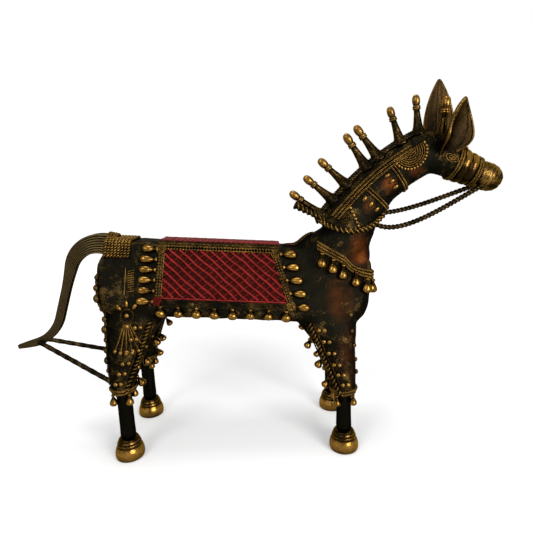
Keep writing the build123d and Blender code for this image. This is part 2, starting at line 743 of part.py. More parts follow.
def lattice_sheet(outline, inner, proud):
    """Threads crossing over a thin cloth, left between diamond pockets. It faces +Y."""
    half_x = LATTICE_PITCH / 2
    half_z = half_x * tan(radians(LATTICE_SLOPE))
    to_thread = half_x * half_z / hypot(half_x, half_z)
    share = 1 - LATTICE_RIB / 2 / to_thread
    rim = ((half_x * share, 0), (0, half_z * share), (-half_x * share, 0), (0, -half_z * share))
    diamond = make_face(Polyline(*rim, close=True))
    box = inner.bounding_box()
    cells = []
    for column in range(int(box.size.X / half_x) + 2):
        for row in range(int(box.size.Y / half_z) + 2):
            if (column + row) % 2 == 0:
                cells.append(Pos(box.min.X + column * half_x, box.min.Y + row * half_z) * diamond)
    pockets = Plane.XZ * ((Sketch() + cells) & inner)
    sheet = extrude(Plane.XZ * outline, amount=-proud)
    return sheet - Pos(0, LATTICE_BACK, 0) * extrude(pockets, amount=LATTICE_BACK - proud)


def saddle_lattice():
    """The left lattice, inside its frame."""
    outline = make_face(Polyline(*saddle_outline(0, 0, 0), close=True))
    inner = make_face(Polyline(*saddle_outline(-LATTICE_RIB, -LATTICE_RIB, -LATTICE_RIB), close=True))
    return SIDE_PLACE * lattice_sheet(outline, inner, LATTICE_PROUD)


def saddle_top():
    """The lattice cloth's crossing over the back."""
    length = SADDLE_TOP_LENGTH + 2 * SADDLE_END_BORDER
    width = TRUNK_BACK_WIDTH - 2 * BACK_RADIUS
    inner = Rectangle(length - 2 * LATTICE_RIB, width - 2 * LATTICE_RIB)
    sheet = lattice_sheet(Rectangle(length, width), inner, SADDLE_TOP_PROUD)
    middle = SADDLE_REAR + SADDLE_TOP_LENGTH / 2
    return TRUNK_PLACE * Pos(middle, 0, BACK_Z) * Rot(90, 0, 0) * sheet


def saddle_rosettes():
    """Coiled discs at the corners of the left frame."""
    disc = tapered_prism(((0, ROSETTE_DIAMETER), (ROSETTE_PROUD, 0.6 * ROSETTE_DIAMETER)), ROSETTE_SIDES)
    half = SADDLE_END_BORDER / 2
    discs = []
    for x, z in saddle_outline(half, SADDLE_TOP_BORDER - ROSETTE_DIAMETER / 2, SADDLE_BOTTOM_BORDER / 2):
        discs.append(SIDE_PLACE * Pos(x, SADDLE_BORDER_PROUD, z) * Rot(-90, 0, 0) * disc)
    return discs


def belly_bells():
    """The left row of bells hanging from the frame's lower edge."""
    _, bottom = saddle_outline(0, 0, SADDLE_BOTTOM_BORDER)[0]
    bells = []
    for x in spread(SADDLE_REAR, SADDLE_REAR + SADDLE_BOTTOM_LENGTH, BELLY_BELL_COUNT):
        place = Pos(x, SADDLE_BORDER_PROUD / 2, bottom) * Rot(180 - SIDE_LEAN, 0, 0)
        bells.append(SIDE_PLACE * place * Pos(0, 0, -BELL_SINK) * bell())
    return bells


def saddle_end_bells(front, count):
    """The left column of bells pointing away from one upright edge of the frame."""
    corners = saddle_outline(SADDLE_END_BORDER, SADDLE_TOP_BORDER, SADDLE_BOTTOM_BORDER)
    low, high = (corners[1], corners[2]) if front else (corners[0], corners[3])
    margin = BELL_DIAMETER / 2
    turn = Rot(0, 90, 0) if front else Rot(0, -90, 0)
    bells = []
    for z in spread(low[1] + margin, high[1] - margin, count):
        x = low[0] + (high[0] - low[0]) * (z - low[1]) / (high[1] - low[1])
        sink = -BELL_SINK if front else BELL_SINK
        bells.append(SIDE_PLACE * Pos(x + sink, BELL_DIAMETER / 2 - BELL_SINK, z) * turn * bell())
    return bells


def collar_plane():
    """The plane of the breast collar, sloping from the withers to the breast."""
    place = Pos(COLLAR_X, 0, BACK_Z - COLLAR_DROP) * Rot(0, COLLAR_SLOPE, 0)
    return Plane(TRUNK_PLACE * place)


def side_reach(place, hosts):
    """How far out the left side of some solids lies, on a line across the horse."""
    across = Axis((place.X, 0, place.Z), (0, 1, 0))
    hits = [point.Y for host in hosts for point, _ in host.find_intersection_points(across)]
    return max(hits, default=SIDE_Y)


def collar_bells(hosts):
    """The left bells under the breast collar, along the side and round the breast."""
    reach = BELL_DIAMETER / 2 - BELL_SINK
    length = BELL_LENGTH + BELL_STEM_DIAMETER
    corner_x = TRUNK_LENGTH / 2 - SHOULDER_RADIUS
    corner_y = SIDE_Y - SHOULDER_RADIUS
    spots = []
    for index in range(COLLAR_SIDE_BELLS):
        spots.append((corner_x - COLLAR_BELL_PITCH * (index + 1), SIDE_Y + reach))
    for angle in spread(COLLAR_CHEST_ARC[0], COLLAR_CHEST_ARC[1], COLLAR_CHEST_BELLS):
        radius = SHOULDER_RADIUS + reach
        spots.append((corner_x + radius * cos(radians(angle)), corner_y + radius * sin(radians(angle))))
    bells = []
    for x, y in spots:
        middle = BACK_Z - COLLAR_DROP - (x - COLLAR_X) * tan(radians(COLLAR_SLOPE))
        root = middle - COLLAR_WIDTH / 2 / cos(radians(COLLAR_SLOPE)) + BELL_STEM_DIAMETER
        belly = TRUNK_PLACE * Pos(x, 0, root - 0.7 * length)
        side_y = side_reach(belly.position, hosts) + reach
        bells.append(TRUNK_PLACE * Pos(x, min(y, side_y), root) * Rot(180, 0, 0) * bell(length))
    return bells


def hem_bells(hem_x, hem_z):
    """Bells round the hem of a left leg."""
    bells = []
    for index in range(HEM_BELL_COUNT):
        angle = radians(360 * (index + 0.5) / HEM_BELL_COUNT)
        reach = (SHANK_DIAMETER + HEM_BELL_DIAMETER) / 2 + HEM_BELL_GAP
        place = Pos(hem_x + reach * cos(angle), HOOF_Y + reach * sin(angle), hem_z) * Rot(180, 0, 0)
        bells.append(place * bell(HEM_BELL_LENGTH, HEM_BELL_DIAMETER))
    return bells


def leg_bells(hem_x, hem_z):
    """Bells down the edge of a left leg that faces the other pair of legs."""
    inward = -1 if hem_x > 0 else 1
    bells = []
    for share in LEG_BELL_SHARES:
        x, y, z, length, _ = leg_station(hem_x, hem_z, share)
        root = Vector(x + inward * (length / 2 - BELL_STEM_DIAMETER / 2), y, z)
        bells.append(along(root, (inward, 0, -LEG_BELL_HANG)) * bell())
    return bells


def leg_braid_tool(hem_x, hem_z):
    """A slanting strip on the outside of a left leg, from saddle to hem."""
    inward = -1 if hem_x > 0 else 1
    low = (hem_x + inward * BRAID_LOW_OFFSET, hem_z)
    high = (hem_x + inward * BRAID_HIGH_OFFSET, hem_z + LEG_RISE)
    strip = Pos(0, HOOF_Y - HEM_DIAMETER / 4, 0) * thread_strip(low, high, BRAID_WIDTH)
    return extrude(strip, amount=-FAR)


def flower_tool():
    """The thigh's flower: a ringed boss with a fan of threads below it."""
    radius = FLOWER_RING_DIAMETER / 2
    ring = RegularPolygon(radius, FLOWER_SIDES) - RegularPolygon(radius - FLOWER_THREAD, FLOWER_SIDES)
    flower = [ring, RegularPolygon(FLOWER_BOSS_DIAMETER / 2, FLOWER_SIDES)]
    for angle in spread(-FAN_SPREAD / 2, FAN_SPREAD / 2, FAN_THREADS):
        thread = Pos(0, FLOWER_THREAD - radius - FAN_LENGTH / 2) * Rectangle(FLOWER_THREAD, FAN_LENGTH)
        flower.append(Rot(0, 0, angle) * thread)
    for angle in (-PETAL_SPREAD, 0, PETAL_SPREAD):
        outline = RegularPolygon(PETAL_LENGTH / 2, PETAL_SIDES)
        petal = Pos(0, radius - FLOWER_THREAD + PETAL_LENGTH / 2) * outline
        flower.append(Rot(0, 0, angle) * petal)
    place = Pos(HIND_X + FLOWER_FORWARD, HIND_HEM_HEIGHT + FLOWER_RISE)
    return extrude(Plane.XZ.offset(FLOWER_WRAP - SIDE_Y) * (place * (Sketch() + flower)), amount=-FAR)


def both_sides(name, left):
    """Keep a left piece and its twin on the right under two names."""
    nodes[f"{name}_left"] = left
    nodes[f"{name}_right"] = to_right(left)


def body_nodes():
    """The skin, its clay core, the neck and the head."""
    core = trunk_block(SKIN_THICKNESS)
    trunk = trunk_block(0)
    neck = neck_form(0)
    head = head_form(0)
    nodes["clay_core"] = core
    nodes["trunk_skin"] = cut(trunk, core)
    nodes["neck"] = cut(neck, trunk)
    nodes["head"] = cut(head, neck)
    nodes["muzzle"] = muzzle_form()
    return trunk, neck, head


def leg_nodes(trunk):
    """Four legs, each an upper leg, a shank and a hoof, with their braids, bells and flowers."""
    braids = []
    hems = []
    edges = []
    forms = []
    for name, hem_x, hem_z in (("hind", HIND_X, HIND_HEM_HEIGHT), ("fore", FORE_X, FORE_HEM_HEIGHT)):
        form = leg_form(hem_x, hem_z, 0)
        lower = shank(hem_x, hem_z)
        braid_host = leg_form(hem_x, hem_z, BRAID_PROUD)
        braid = cut(common(braid_host, leg_braid_tool(hem_x, hem_z)), form, trunk)
        edge = cut(leg_bells(hem_x, hem_z), form, trunk, braid)
        hem = hem_bells(hem_x, hem_z)
        both_sides(f"{name}_leg", cut(form, trunk))
        both_sides(f"{name}_shank", lower)
        both_sides(f"{name}_hoof", hoof(hem_x))
        forms.append(form)
        for group, shape in ((braids, braid), (edges, edge), (hems, hem)):
            group += [shape, to_right(shape)]
    host = trunk_block(-FLOWER_PROUD) + leg_form(HIND_X, HIND_HEM_HEIGHT, FLOWER_PROUD)
    flower = cut(common(host, flower_tool()), trunk, forms[0], braids[0])
    both_sides("thigh_flower", flower)
    nodes["leg_braids"] = braids
    nodes["leg_bells"] = edges
    nodes["hem_bells"] = hems
    return forms


def mane_nodes(trunk, neck, head):
    """The ridge, the pegs, the threads beside them and the straps that run down from those."""
    ridge = ridge_form()
    shell = neck_form(STRAP_PROUD)
    cords = []
    inset = MANE_CORD_INSET
    for _ in range(MANE_CORD_COUNT):
        cords += common(shell, crest_strip(*MANE_CORD_SPAN, -inset, inset + MANE_CORD_WIDTH))
        inset += MANE_CORD_WIDTH + MANE_CORD_GAP
    above = crest_strip(0, 1, NECK_BASE_DEPTH, inset - MANE_CORD_GAP + STRAP_GAP)
    loop_tool = rein_loop_tool()
    nodes["mane_ridge"] = cut(ridge, neck, trunk, head)
    pegs = cut([crest_place(spot) * peg(PEG_LENGTH) for spot in PEG_SPOTS], ridge)
    nodes["mane_cords"] = cut(cords, neck, trunk)
    nodes["mane_pegs"] = cut(pegs, head)
    nodes["rein_loop"] = cut(common(neck_form(LOOP_PROUD), loop_tool), neck, trunk, above, ridge, pegs)
    nodes["lower_neck_strap"] = largest(cut(neck_band(LOWER_STRAP_SPOT), neck, above, loop_tool))
    nodes["upper_neck_strap"] = largest(cut(neck_band(UPPER_STRAP_SPOT), neck, above))
    discs = common(shell, medallion_tool())
    nodes["neck_medallions"] = cut(discs, neck, above, head, nodes["upper_neck_strap"])


def head_nodes(neck, head):
    """The ears, the forelock's peg, the eyes and the bands of the bridle."""
    seat = head_plane(FORELOCK_STATION)
    foot = seat.origin + seat.x_dir * (HEAD_POLL_SIZE[0] / 2 - PEG_SINK)
    forelock = cut(along(foot, (0, 0, 1)) * peg(FORELOCK_LENGTH), head, nodes["mane_ridge"])
    nodes["forelock_peg"] = cut(forelock, nodes["mane_pegs"])
    taken = (head, neck, nodes["mane_ridge"], forelock)
    nodes["ear_left"] = cut(ear(1, EAR_LEFT_LENGTH, EAR_LEFT_LEAN), *taken)
    nodes["ear_right"] = cut(ear(-1, EAR_RIGHT_LENGTH, EAR_RIGHT_LEAN), *taken)
    ears = (nodes["ear_left"], nodes["ear_right"])
    nodes["eye_rings"] = cut(eye_tool(), head, neck, *ears)
    stations = (BROWBAND_STATION, NOSEBAND_STATION, MUZZLE_BAND_STATION)
    for name, station in zip(("browband", "noseband", "muzzle_band"), stations):
        nodes[name] = cut(head_band(station), neck, nodes["eye_rings"], *ears)


def rein_nodes(trunk, neck, head):
    """The reins, the loose end of their loop, and the breast collar with its bells."""
    crest = heading_plane(*neck_path(0))
    root = crest.origin + crest.x_dir * (NECK_BASE_DEPTH / 2 - PEG_SINK)
    turn = radians(REIN_TAIL_ANGLE)
    stations = ((0, REIN_TAIL_DIAMETER / 2), (REIN_TAIL_LENGTH, REIN_TAIL_DIAMETER))
    place = along(root - Vector(0, REIN_TAIL_OFFSET, 0), (cos(turn), 0, sin(turn)))
    crown = (nodes["mane_ridge"], nodes["mane_pegs"], nodes["mane_cords"], nodes["rein_loop"])
    nodes["rein_tail"] = largest(cut(place * tapered_prism(stations, PEG_SIDES), neck, trunk, *crown))
    mouth = (nodes["muzzle"], head, nodes["muzzle_band"], nodes["noseband"])
    straps = (nodes["lower_neck_strap"], nodes["rein_loop"])
    left = rein(1, REIN_LEFT_SPOT, REIN_LEFT_SAG)
    right = rein(-1, REIN_RIGHT_SPOT, REIN_RIGHT_SAG)
    nodes["rein_left"] = largest(cut(left, neck, *straps, *mouth))
    nodes["rein_right"] = largest(cut(right, neck, *straps, *mouth))
    collar_slab = slab(collar_plane(), COLLAR_WIDTH)
    collar = common(trunk_block(-COLLAR_PROUD) + neck_form(COLLAR_PROUD), collar_slab)
    nodes["breast_collar"] = largest(cut(collar, trunk, neck, rein_loop_tool()))
    both_sides("collar_bells", cut(collar_bells((trunk, neck)), trunk, neck, collar_slab))


def saddle_nodes(trunk, legs):
    """The saddle cloth, its frame, its rosettes and the bells round it."""
    border = saddle_border()
    lattice = saddle_lattice()
    both_sides("saddle_border", border)
    both_sides("saddle_lattice", lattice)
    nodes["saddle_top"] = saddle_top()
    discs = cut(saddle_rosettes(), border, lattice)
    nodes["saddle_rosettes"] = [discs, to_right(discs)]
    others = (trunk, border, discs, *legs, nodes["leg_braids"], nodes["thigh_flower_left"])
    both_sides("belly_bells", cut(belly_bells(), *others))
    both_sides("saddle_rear_bells", cut(saddle_end_bells(False, REAR_BELL_COUNT), *others))
    both_sides("saddle_front_bells", cut(saddle_end_bells(True, FRONT_BELL_COUNT), *others))


def tail_nodes(trunk, hind_leg):
    """The tail, its binding and its two stays."""
    sheaf = tail_form()
    nodes["tail"] = cut(sheaf, trunk)
    nodes["tail_binding"] = cut(binding_form(), sheaf, trunk)
    both_sides("tail_stay", cut(tail_stay(), sheaf, hind_leg))


def main():
    os.makedirs("parts", exist_ok=True)
    trunk, neck, head = body_nodes()
    legs = leg_nodes(trunk)
    mane_nodes(trunk, neck, head)
    head_nodes(neck, head)
    rein_nodes(trunk, neck, head)
    saddle_nodes(trunk, legs)
    tail_nodes(trunk, legs[0])
    pieces = {name: Compound(solids_of(shape)) for name, shape in nodes.items()}
    whole = Compound(solids_of(list(nodes.values()))).bounding_box()
    to_origin = Pos(-whole.center().X, 0, 0)
    print("length, width, height:", whole.size)
    for name, piece in pieces.items():
        print(name, len(piece.solids()), round(piece.volume, 1))
        export_step(to_origin * piece, f"parts/{name}.step")


main()
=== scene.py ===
# %% [markdown]
# # A lost-wax brass horse
#
# A horse like this starts as a clay core with a skin of wax. The maker rolls wax threads, twists
# some of them into cords, and lays them on as straps, braids and coils, with drops and pegs between.
# The wax is then cast in brass, blackened, and rubbed so that only the raised parts shine.
#
# The lesson begins with the finishes, goes on to a smooth skin made from the solids, and then lays
# threads, drops and leaves on that skin.

# %% Load the frame
from functools import partial
from math import atan2, cos, hypot, pi, radians, sin, sqrt, tan
import bmesh
import bpy
import numpy as np
from mathutils import Matrix, Vector, noise
from mathutils.bvhtree import BVHTree


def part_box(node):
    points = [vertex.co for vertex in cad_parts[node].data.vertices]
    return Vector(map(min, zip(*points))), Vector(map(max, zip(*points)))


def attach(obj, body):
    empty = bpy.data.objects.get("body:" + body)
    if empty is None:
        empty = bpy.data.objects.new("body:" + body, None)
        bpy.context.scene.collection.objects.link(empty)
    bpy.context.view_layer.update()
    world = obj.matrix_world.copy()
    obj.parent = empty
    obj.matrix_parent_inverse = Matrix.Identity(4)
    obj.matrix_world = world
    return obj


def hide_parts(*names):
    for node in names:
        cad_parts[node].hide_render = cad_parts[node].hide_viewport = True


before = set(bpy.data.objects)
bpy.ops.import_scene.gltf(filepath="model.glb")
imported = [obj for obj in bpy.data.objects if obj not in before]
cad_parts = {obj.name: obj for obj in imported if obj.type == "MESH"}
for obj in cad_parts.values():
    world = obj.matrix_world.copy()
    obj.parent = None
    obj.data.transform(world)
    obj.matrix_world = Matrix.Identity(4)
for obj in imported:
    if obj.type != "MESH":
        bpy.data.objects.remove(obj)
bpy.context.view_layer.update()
print("nodes:", len(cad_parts))

# %% [markdown]
# ## Where things are
#
# Sizes are in millimetres, counted along the horse from the middle of its four hooves, and turned
# into metres in one place. The trunk is pitched a little, and its sides lean inwards, so what lies on
# it is drawn in the trunk's own frame. World coordinates would do too, but only in that frame is a
# straight border drawn as a straight line.

# %% Frame of the trunk
MM = 0.001
UP = Vector((0, 0, 1))
AHEAD, LEFT = Vector((1, 0, 0)), Vector((0, 1, 0))
SIDES = (("left", 1), ("right", -1))
HOOF_X, HOOF_Y = 67.0, 25.0
HIND_HEM, FORE_HEM = 44.0, 38.0
LEGS = (("hind", -HOOF_X, HIND_HEM), ("fore", HOOF_X, FORE_HEM))
TRUNK_X, TRUNK_Z, TRUNK_PITCH = 3.5, 106.5, radians(4.5)
SIDE_Y, BACK_Y, BACK_Z, TRUNK_HALF = 25.0, 10.0, 21.5, 83.5
WAIST_Z = -0.72 * BACK_Z
SIDE_LEAN = atan2(SIDE_Y - BACK_Y, BACK_Z - WAIST_Z)
SIDE_SLOPE = hypot(SIDE_Y - BACK_Y, BACK_Z - WAIST_Z)
hind_box, fore_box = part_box("hind_hoof_left"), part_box("fore_hoof_left")
MIDDLE_X = (hind_box[0].x + hind_box[1].x + fore_box[0].x + fore_box[1].x) / 4


def at(x, y, z):
    """A point of the horse, from millimetres about the middle of its hooves."""
    return Vector((MIDDLE_X + x * MM, y * MM, z * MM))


def trunk_at(x, y, z):
    """A point in the trunk's own pitched frame."""
    turn_cos, turn_sin = cos(TRUNK_PITCH), sin(TRUNK_PITCH)
    return at(TRUNK_X + x * turn_cos + z * turn_sin, y, TRUNK_Z - x * turn_sin + z * turn_cos)


def side_at(x, rise, out, sign):
    """A point on the trunk's leaning side: along it, up its slope from the waist, and out of it."""
    y = SIDE_Y - rise * sin(SIDE_LEAN) + out * cos(SIDE_LEAN)
    return trunk_at(x, sign * y, WAIST_Z + rise * cos(SIDE_LEAN) + out * sin(SIDE_LEAN))


def side_normal(sign):
    """The way the leaning side faces."""
    return (side_at(0, 0, 1, sign) - side_at(0, 0, 0, sign)).normalized()


TRUNK_DOWN = (trunk_at(0, 0, -1) - trunk_at(0, 0, 0)).normalized()
TRUNK_AHEAD = (trunk_at(1, 0, 0) - trunk_at(0, 0, 0)).normalized()
print("middle of the hooves at", round(MIDDLE_X, 5))

# %% [markdown]
# The neck follows one arc, deep at the withers and slender at the poll, and the head one straight
# axis. A curve object could hold both. Short formulas were chosen because they also give the heading,
# which pegs, straps and bands need.

# %% Lines of the neck and the head
NECK_X, NECK_Z, NECK_ARC = 72.5, 134.0, 100.0
NECK_FROM, NECK_BEND = radians(62.0), radians(38.0)
HEAD_TURN, HEAD_RISE = radians(-23.5), 2.6
HEAD_LENGTH, MUZZLE_LENGTH = 37.5, 16.0


def neck_path(spot):
    """Middle of the neck and its heading, from 0 at the withers to 1 at the poll."""
    heading = NECK_FROM - NECK_BEND * spot
    x = NECK_X + NECK_ARC * (sin(NECK_FROM) - sin(heading))
    return x, NECK_Z + NECK_ARC * (cos(heading) - cos(NECK_FROM)), heading


def neck_size(spot):
    """Depth and width of the neck."""
    rest = max(1 - spot, 0)
    return 25.0 + 11.0 * rest**3, 19.0 + 13.0 * rest**2.5


def neck_point(spot, rise):
    """A point in the middle plane, a height above the neck's middle line."""
    x, z, heading = neck_path(spot)
    return x - sin(heading) * rise, z + cos(heading) * rise


def crest(spot, drop=0.0):
    """A point on the crest, or a drop below it."""
    return neck_point(spot, neck_size(spot)[0] / 2 - drop)


HEAD_START = neck_point(1, HEAD_RISE)


def head_at(station, rise, y):
    """A point along the head's axis."""
    x = HEAD_START[0] + station * cos(HEAD_TURN) - rise * sin(HEAD_TURN)
    z = HEAD_START[1] + station * sin(HEAD_TURN) + rise * cos(HEAD_TURN)
    return at(x, y, z)


print("head starts at", [round(value, 1) for value in HEAD_START])

# %% [markdown]
# ## The finish
#
# The brass is black in its hollows and bright where it is rubbed. One node group gives the rubbed
# share: how far a point stands out, broken up by two noises, and the wear of the piece. A second
# group gives the small pits of the casting. Painted masks would need every piece unwrapped. Noise in
# object coordinates doesn't, and it stays in its place on the surface.

# %% Shared shader groups
FLOAT, VECTOR = "NodeSocketFloat", "NodeSocketVector"


def group_of(kind, name, inputs, outputs):
    """A node group with named sockets, with its input and output nodes."""
    group = bpy.data.node_groups.new(name, kind)
    for way, sockets in (("INPUT", inputs), ("OUTPUT", outputs)):
        for label, socket in sockets:
            group.interface.new_socket(label, in_out=way, socket_type=socket)
    return group, group.nodes.new("NodeGroupInput"), group.nodes.new("NodeGroupOutput")


def fill(tree, node, inputs):
    """Set each input of a node to a value, or link it to a socket."""
    for key, value in inputs.items():
        if isinstance(value, bpy.types.NodeSocket):
            tree.links.new(value, node.inputs[key])
        else:
            node.inputs[key].default_value = value


def add(tree, kind, inputs=None, **settings):
    """A new node, with its properties and then its inputs set."""
    node = tree.nodes.new(kind)
    for key, value in settings.items():
        setattr(node, key, value)
    fill(tree, node, inputs or {})
    return node


def calc(tree, operation, first, second=0.0, clamp=False):
    """The result of a math node on two sockets or numbers."""
    return add(tree, "ShaderNodeMath", {0: first, 1: second}, operation=operation, use_clamp=clamp).outputs[0]


def noise_of(tree, scale, detail, rough=0.55):
    """A noise in object coordinates."""
    place = add(tree, "ShaderNodeTexCoord").outputs["Object"]
    settings = {"Vector": place, "Scale": scale, "Detail": detail, "Roughness": rough}
    return add(tree, "ShaderNodeTexNoise", settings).outputs["Fac"]


RUBBED_INPUTS = [("Raised", FLOAT), ("Wear", FLOAT), ("Mottle", FLOAT)]
rubbed_group, given, result = group_of("ShaderNodeTree", "Rubbed", RUBBED_INPUTS,
                                       [("Share", FLOAT), ("Grain", FLOAT)])
sums = partial(calc, rubbed_group)
fine_grain = noise_of(rubbed_group, 1100.0, 2.0)
patches = sums("SUBTRACT", sums("ADD", noise_of(rubbed_group, 140.0, 3.0), fine_grain), 1.0)
share = sums("ADD", given.outputs["Raised"], sums("MULTIPLY", patches, given.outputs["Mottle"]))
share = sums("ADD", share, sums("SUBTRACT", given.outputs["Wear"], 0.75), clamp=True)
fill(rubbed_group, result, {"Share": share, "Grain": fine_grain})

pits_group, given, result = group_of("ShaderNodeTree", "Casting pits", [("Strength", FLOAT)],
                                     [("Normal", VECTOR)])
pit_height = calc(pits_group, "ADD", noise_of(pits_group, 420.0, 4.0), noise_of(pits_group, 1700.0, 2.0))
pit_bump = add(pits_group, "ShaderNodeBump",
               {"Distance": 0.0004, "Height": pit_height, "Strength": given.outputs["Strength"]})
fill(pits_group, result, {"Normal": pit_bump.outputs["Normal"]})
print("shader groups:", rubbed_group.name, pits_group.name)

# %% [markdown]
# Every finish is then one recipe with its own colours: a dark ground, amber lacquer that lies on parts
# of the skin, and bright metal where it is rubbed. Separate materials could each be drawn by hand, but
# one recipe keeps them alike, as one casting is. The edge colour holds back the white glint that metal
# has where it turns away from the eye.

# %% The recipe of a finish
AMBER = (0.13, 0.032, 0.006, 1)
GOLD, PALE_GOLD, BLACK = (0.22, 0.118, 0.026), (0.32, 0.165, 0.032), (0.007, 0.005, 0.0025)
WARM_EDGE, DARK_EDGE = (0.75, 0.62, 0.42), (0.34, 0.30, 0.23)


def blend(tree, share, first, second):
    """A colour between two, each a socket or a plain colour."""
    return add(tree, "ShaderNodeMix", {"Factor": share, 6: first, 7: second}, data_type="RGBA").outputs[2]


def spread_of(tree, value, low, high):
    """A value from 0 to 1 laid over a range."""
    return add(tree, "ShaderNodeMapRange", {"Value": value, "To Min": low, "To Max": high}).outputs["Result"]


def finish_of(name, dark, bright, wear, rough, metallic=1.0, coat=0.0, pits=0.3, mottle=1.1,
              edge=WARM_EDGE):
    """A cast finish: dark ground, lacquer by attribute, bright where it is rubbed."""
    material = bpy.data.materials.new(name)
    material.use_nodes = True
    tree = material.node_tree
    raised = add(tree, "ShaderNodeAttribute", attribute_name="raised").outputs["Fac"]
    lacquer = add(tree, "ShaderNodeAttribute", attribute_name="lacquer").outputs["Fac"]
    rubbed = add(tree, "ShaderNodeGroup", {"Raised": raised, "Wear": wear, "Mottle": mottle},
                 node_tree=rubbed_group)
    cloud = spread_of(tree, noise_of(tree, 150.0, 5.0, 0.62), -0.55, 1.75)
    tinted = calc(tree, "MULTIPLY", lacquer, cloud, clamp=True)
    ground = blend(tree, tinted, (*dark, 1), AMBER)
    dull = spread_of(tree, rubbed.outputs["Grain"], *rough)
    pitted = add(tree, "ShaderNodeGroup", {"Strength": pits}, node_tree=pits_group)
    fill(tree, tree.nodes["Principled BSDF"], {
        "Base Color": blend(tree, rubbed.outputs["Share"], ground, (*bright, 1)),
        "Roughness": calc(tree, "ADD", dull, calc(tree, "MULTIPLY", tinted, -0.12)),
        "Normal": pitted.outputs["Normal"], "Metallic": metallic, "Specular IOR Level": 0.15,
        "Specular Tint": (*edge, 1), "Coat Weight": coat, "Coat Roughness": 0.12})
    return material


print("edge colours:", WARM_EDGE, DARK_EDGE)

# %% [markdown]
# The finishes themselves go from nearly black, on the skin and the bars, through rubbed threads, to
# the bright drops. Red lacquer covers the saddle's threads.

# %% Finishes
skin_mat = finish_of("patina_skin", (0.0032, 0.004, 0.0026), (0.12, 0.072, 0.019), 0.41,
                     (0.32, 0.56), metallic=0.93, pits=0.75, mottle=1.6, edge=DARK_EDGE)
thread_mat = finish_of("rubbed_thread", BLACK, GOLD, 0.56, (0.12, 0.32))
dull_mat = finish_of("dull_thread", BLACK, GOLD, 0.3, (0.26, 0.5), edge=DARK_EDGE)
bell_mat = finish_of("rubbed_drop", (0.014, 0.008, 0.0025), PALE_GOLD, 0.42, (0.05, 0.17),
                     pits=0.25)
bar_mat = finish_of("black_bar", (0.0045, 0.004, 0.0025), (0.13, 0.075, 0.02), 0.3,
                    (0.24, 0.46), metallic=0.93, edge=DARK_EDGE)
tail_mat = finish_of("tail_strand", (0.005, 0.0045, 0.003), (0.125, 0.086, 0.034), 0.58,
                     (0.26, 0.46), mottle=0.45, edge=DARK_EDGE)
ear_mat = finish_of("ear_leaf", (0.010, 0.007, 0.004), (0.15, 0.08, 0.025), 0.6, (0.24, 0.4),
                    mottle=0.4, edge=DARK_EDGE)
lattice_mat = finish_of("red_lacquer_thread", (0.06, 0.004, 0.003), (0.31, 0.018, 0.014), 0.7,
                        (0.14, 0.32), metallic=0.55, coat=0.2, pits=0.15, edge=(0.6, 0.12, 0.1))
cloth_mat = finish_of("red_lacquer_ground", (0.024, 0.004, 0.003), (0.075, 0.012, 0.008), 0.5,
                      (0.45, 0.65), metallic=0.4, edge=(0.3, 0.06, 0.05))
weft_mat = finish_of("red_lacquer_under", (0.035, 0.004, 0.003), (0.15, 0.012, 0.009), 0.6,
                     (0.25, 0.45), metallic=0.5, edge=(0.5, 0.1, 0.08))
clay_mat = finish_of("core_clay", (0.22, 0.13, 0.08), (0.34, 0.22, 0.14), 0.6, (0.8, 0.95),
                     metallic=0.0, pits=0.6)
print("materials:", len(bpy.data.materials))

# %% [markdown]
# ## Making pieces
#
# Every piece goes through one function: it links the mesh, gives it its material, hides the solids
# it stands for, and lets it ride on the horse's one body. The same lines could follow each mesh, but
# then one of them is soon forgotten.

# %% A piece and its mesh
pieces = {}


def piece(name, mesh, material, *replaced, slot=None):
    """A finished piece of the horse, in the place of the solids that it replaces."""
    obj = bpy.data.objects.new(name, mesh)
    bpy.context.scene.collection.objects.link(obj)
    if not mesh.materials:
        mesh.materials.append(material)
    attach(obj, "root")
    if replaced:
        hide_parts(*replaced)
    pieces[name] = obj
    return obj


def store_on(mesh, name, values, kind="FLOAT"):
    """Keep values on a mesh's points, as an attribute."""
    key = "vector" if kind == "FLOAT_VECTOR" else "value"
    mesh.attributes.new(name, kind, "POINT").data.foreach_set(key, np.asarray(values, np.float32).ravel())


def mesh_of(name, verts, faces, raised=None):
    """A smooth mesh, with how far each point is rubbed."""
    mesh = bpy.data.meshes.new(name)
    mesh.from_pydata([tuple(v) for v in verts], [], faces)
    if raised is not None:
        store_on(mesh, "raised", raised)
    mesh.shade_smooth()
    mesh.update()
    return mesh


print("pieces so far:", len(pieces))

# %% [markdown]
# The solids say where each drop hangs and what the skin goes round. A solid comes as loose triangles,
# so their points are joined first, and then the triangles that share points are gathered into shells.
# Blender's Separate by Loose Parts does the same by hand.

# %% Shells of a solid
def welded(node):
    """Points and faces of a solid, with the points of its facets joined."""
    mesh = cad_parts[node].data
    keys, verts, index = {}, [], []
    for vertex in mesh.vertices:
        key = tuple(round(c, 6) for c in vertex.co)
        if key not in keys:
            keys[key] = len(verts)
            verts.append(np.array(vertex.co))
        index.append(keys[key])
    faces = [[index[i] for i in polygon.vertices] for polygon in mesh.polygons]
    return verts, [face for face in faces if len(set(face)) == len(face)]


def islands(node):
    """The separate shells of a node, each as its points and faces."""
    verts, faces = welded(node)
    parent = list(range(len(verts)))

    def root(i):
        """The point that stands for the shell of point i."""
        while parent[i] != i:
            parent[i] = parent[parent[i]]
            i = parent[i]
        return i

    for face in faces:
        for other in face[1:]:
            parent[root(face[0])] = root(other)
    groups = {}
    for face in faces:
        groups.setdefault(root(face[0]), []).append(face)
    shells = []
    for members in groups.values():
        used = sorted({i for face in members for i in face})
        local = {old: new for new, old in enumerate(used)}
        shells.append((np.array([verts[i] for i in used]), [[local[i] for i in face] for face in members]))
    return sorted(shells, key=lambda item: tuple(np.round(item[0].mean(0), 5)))


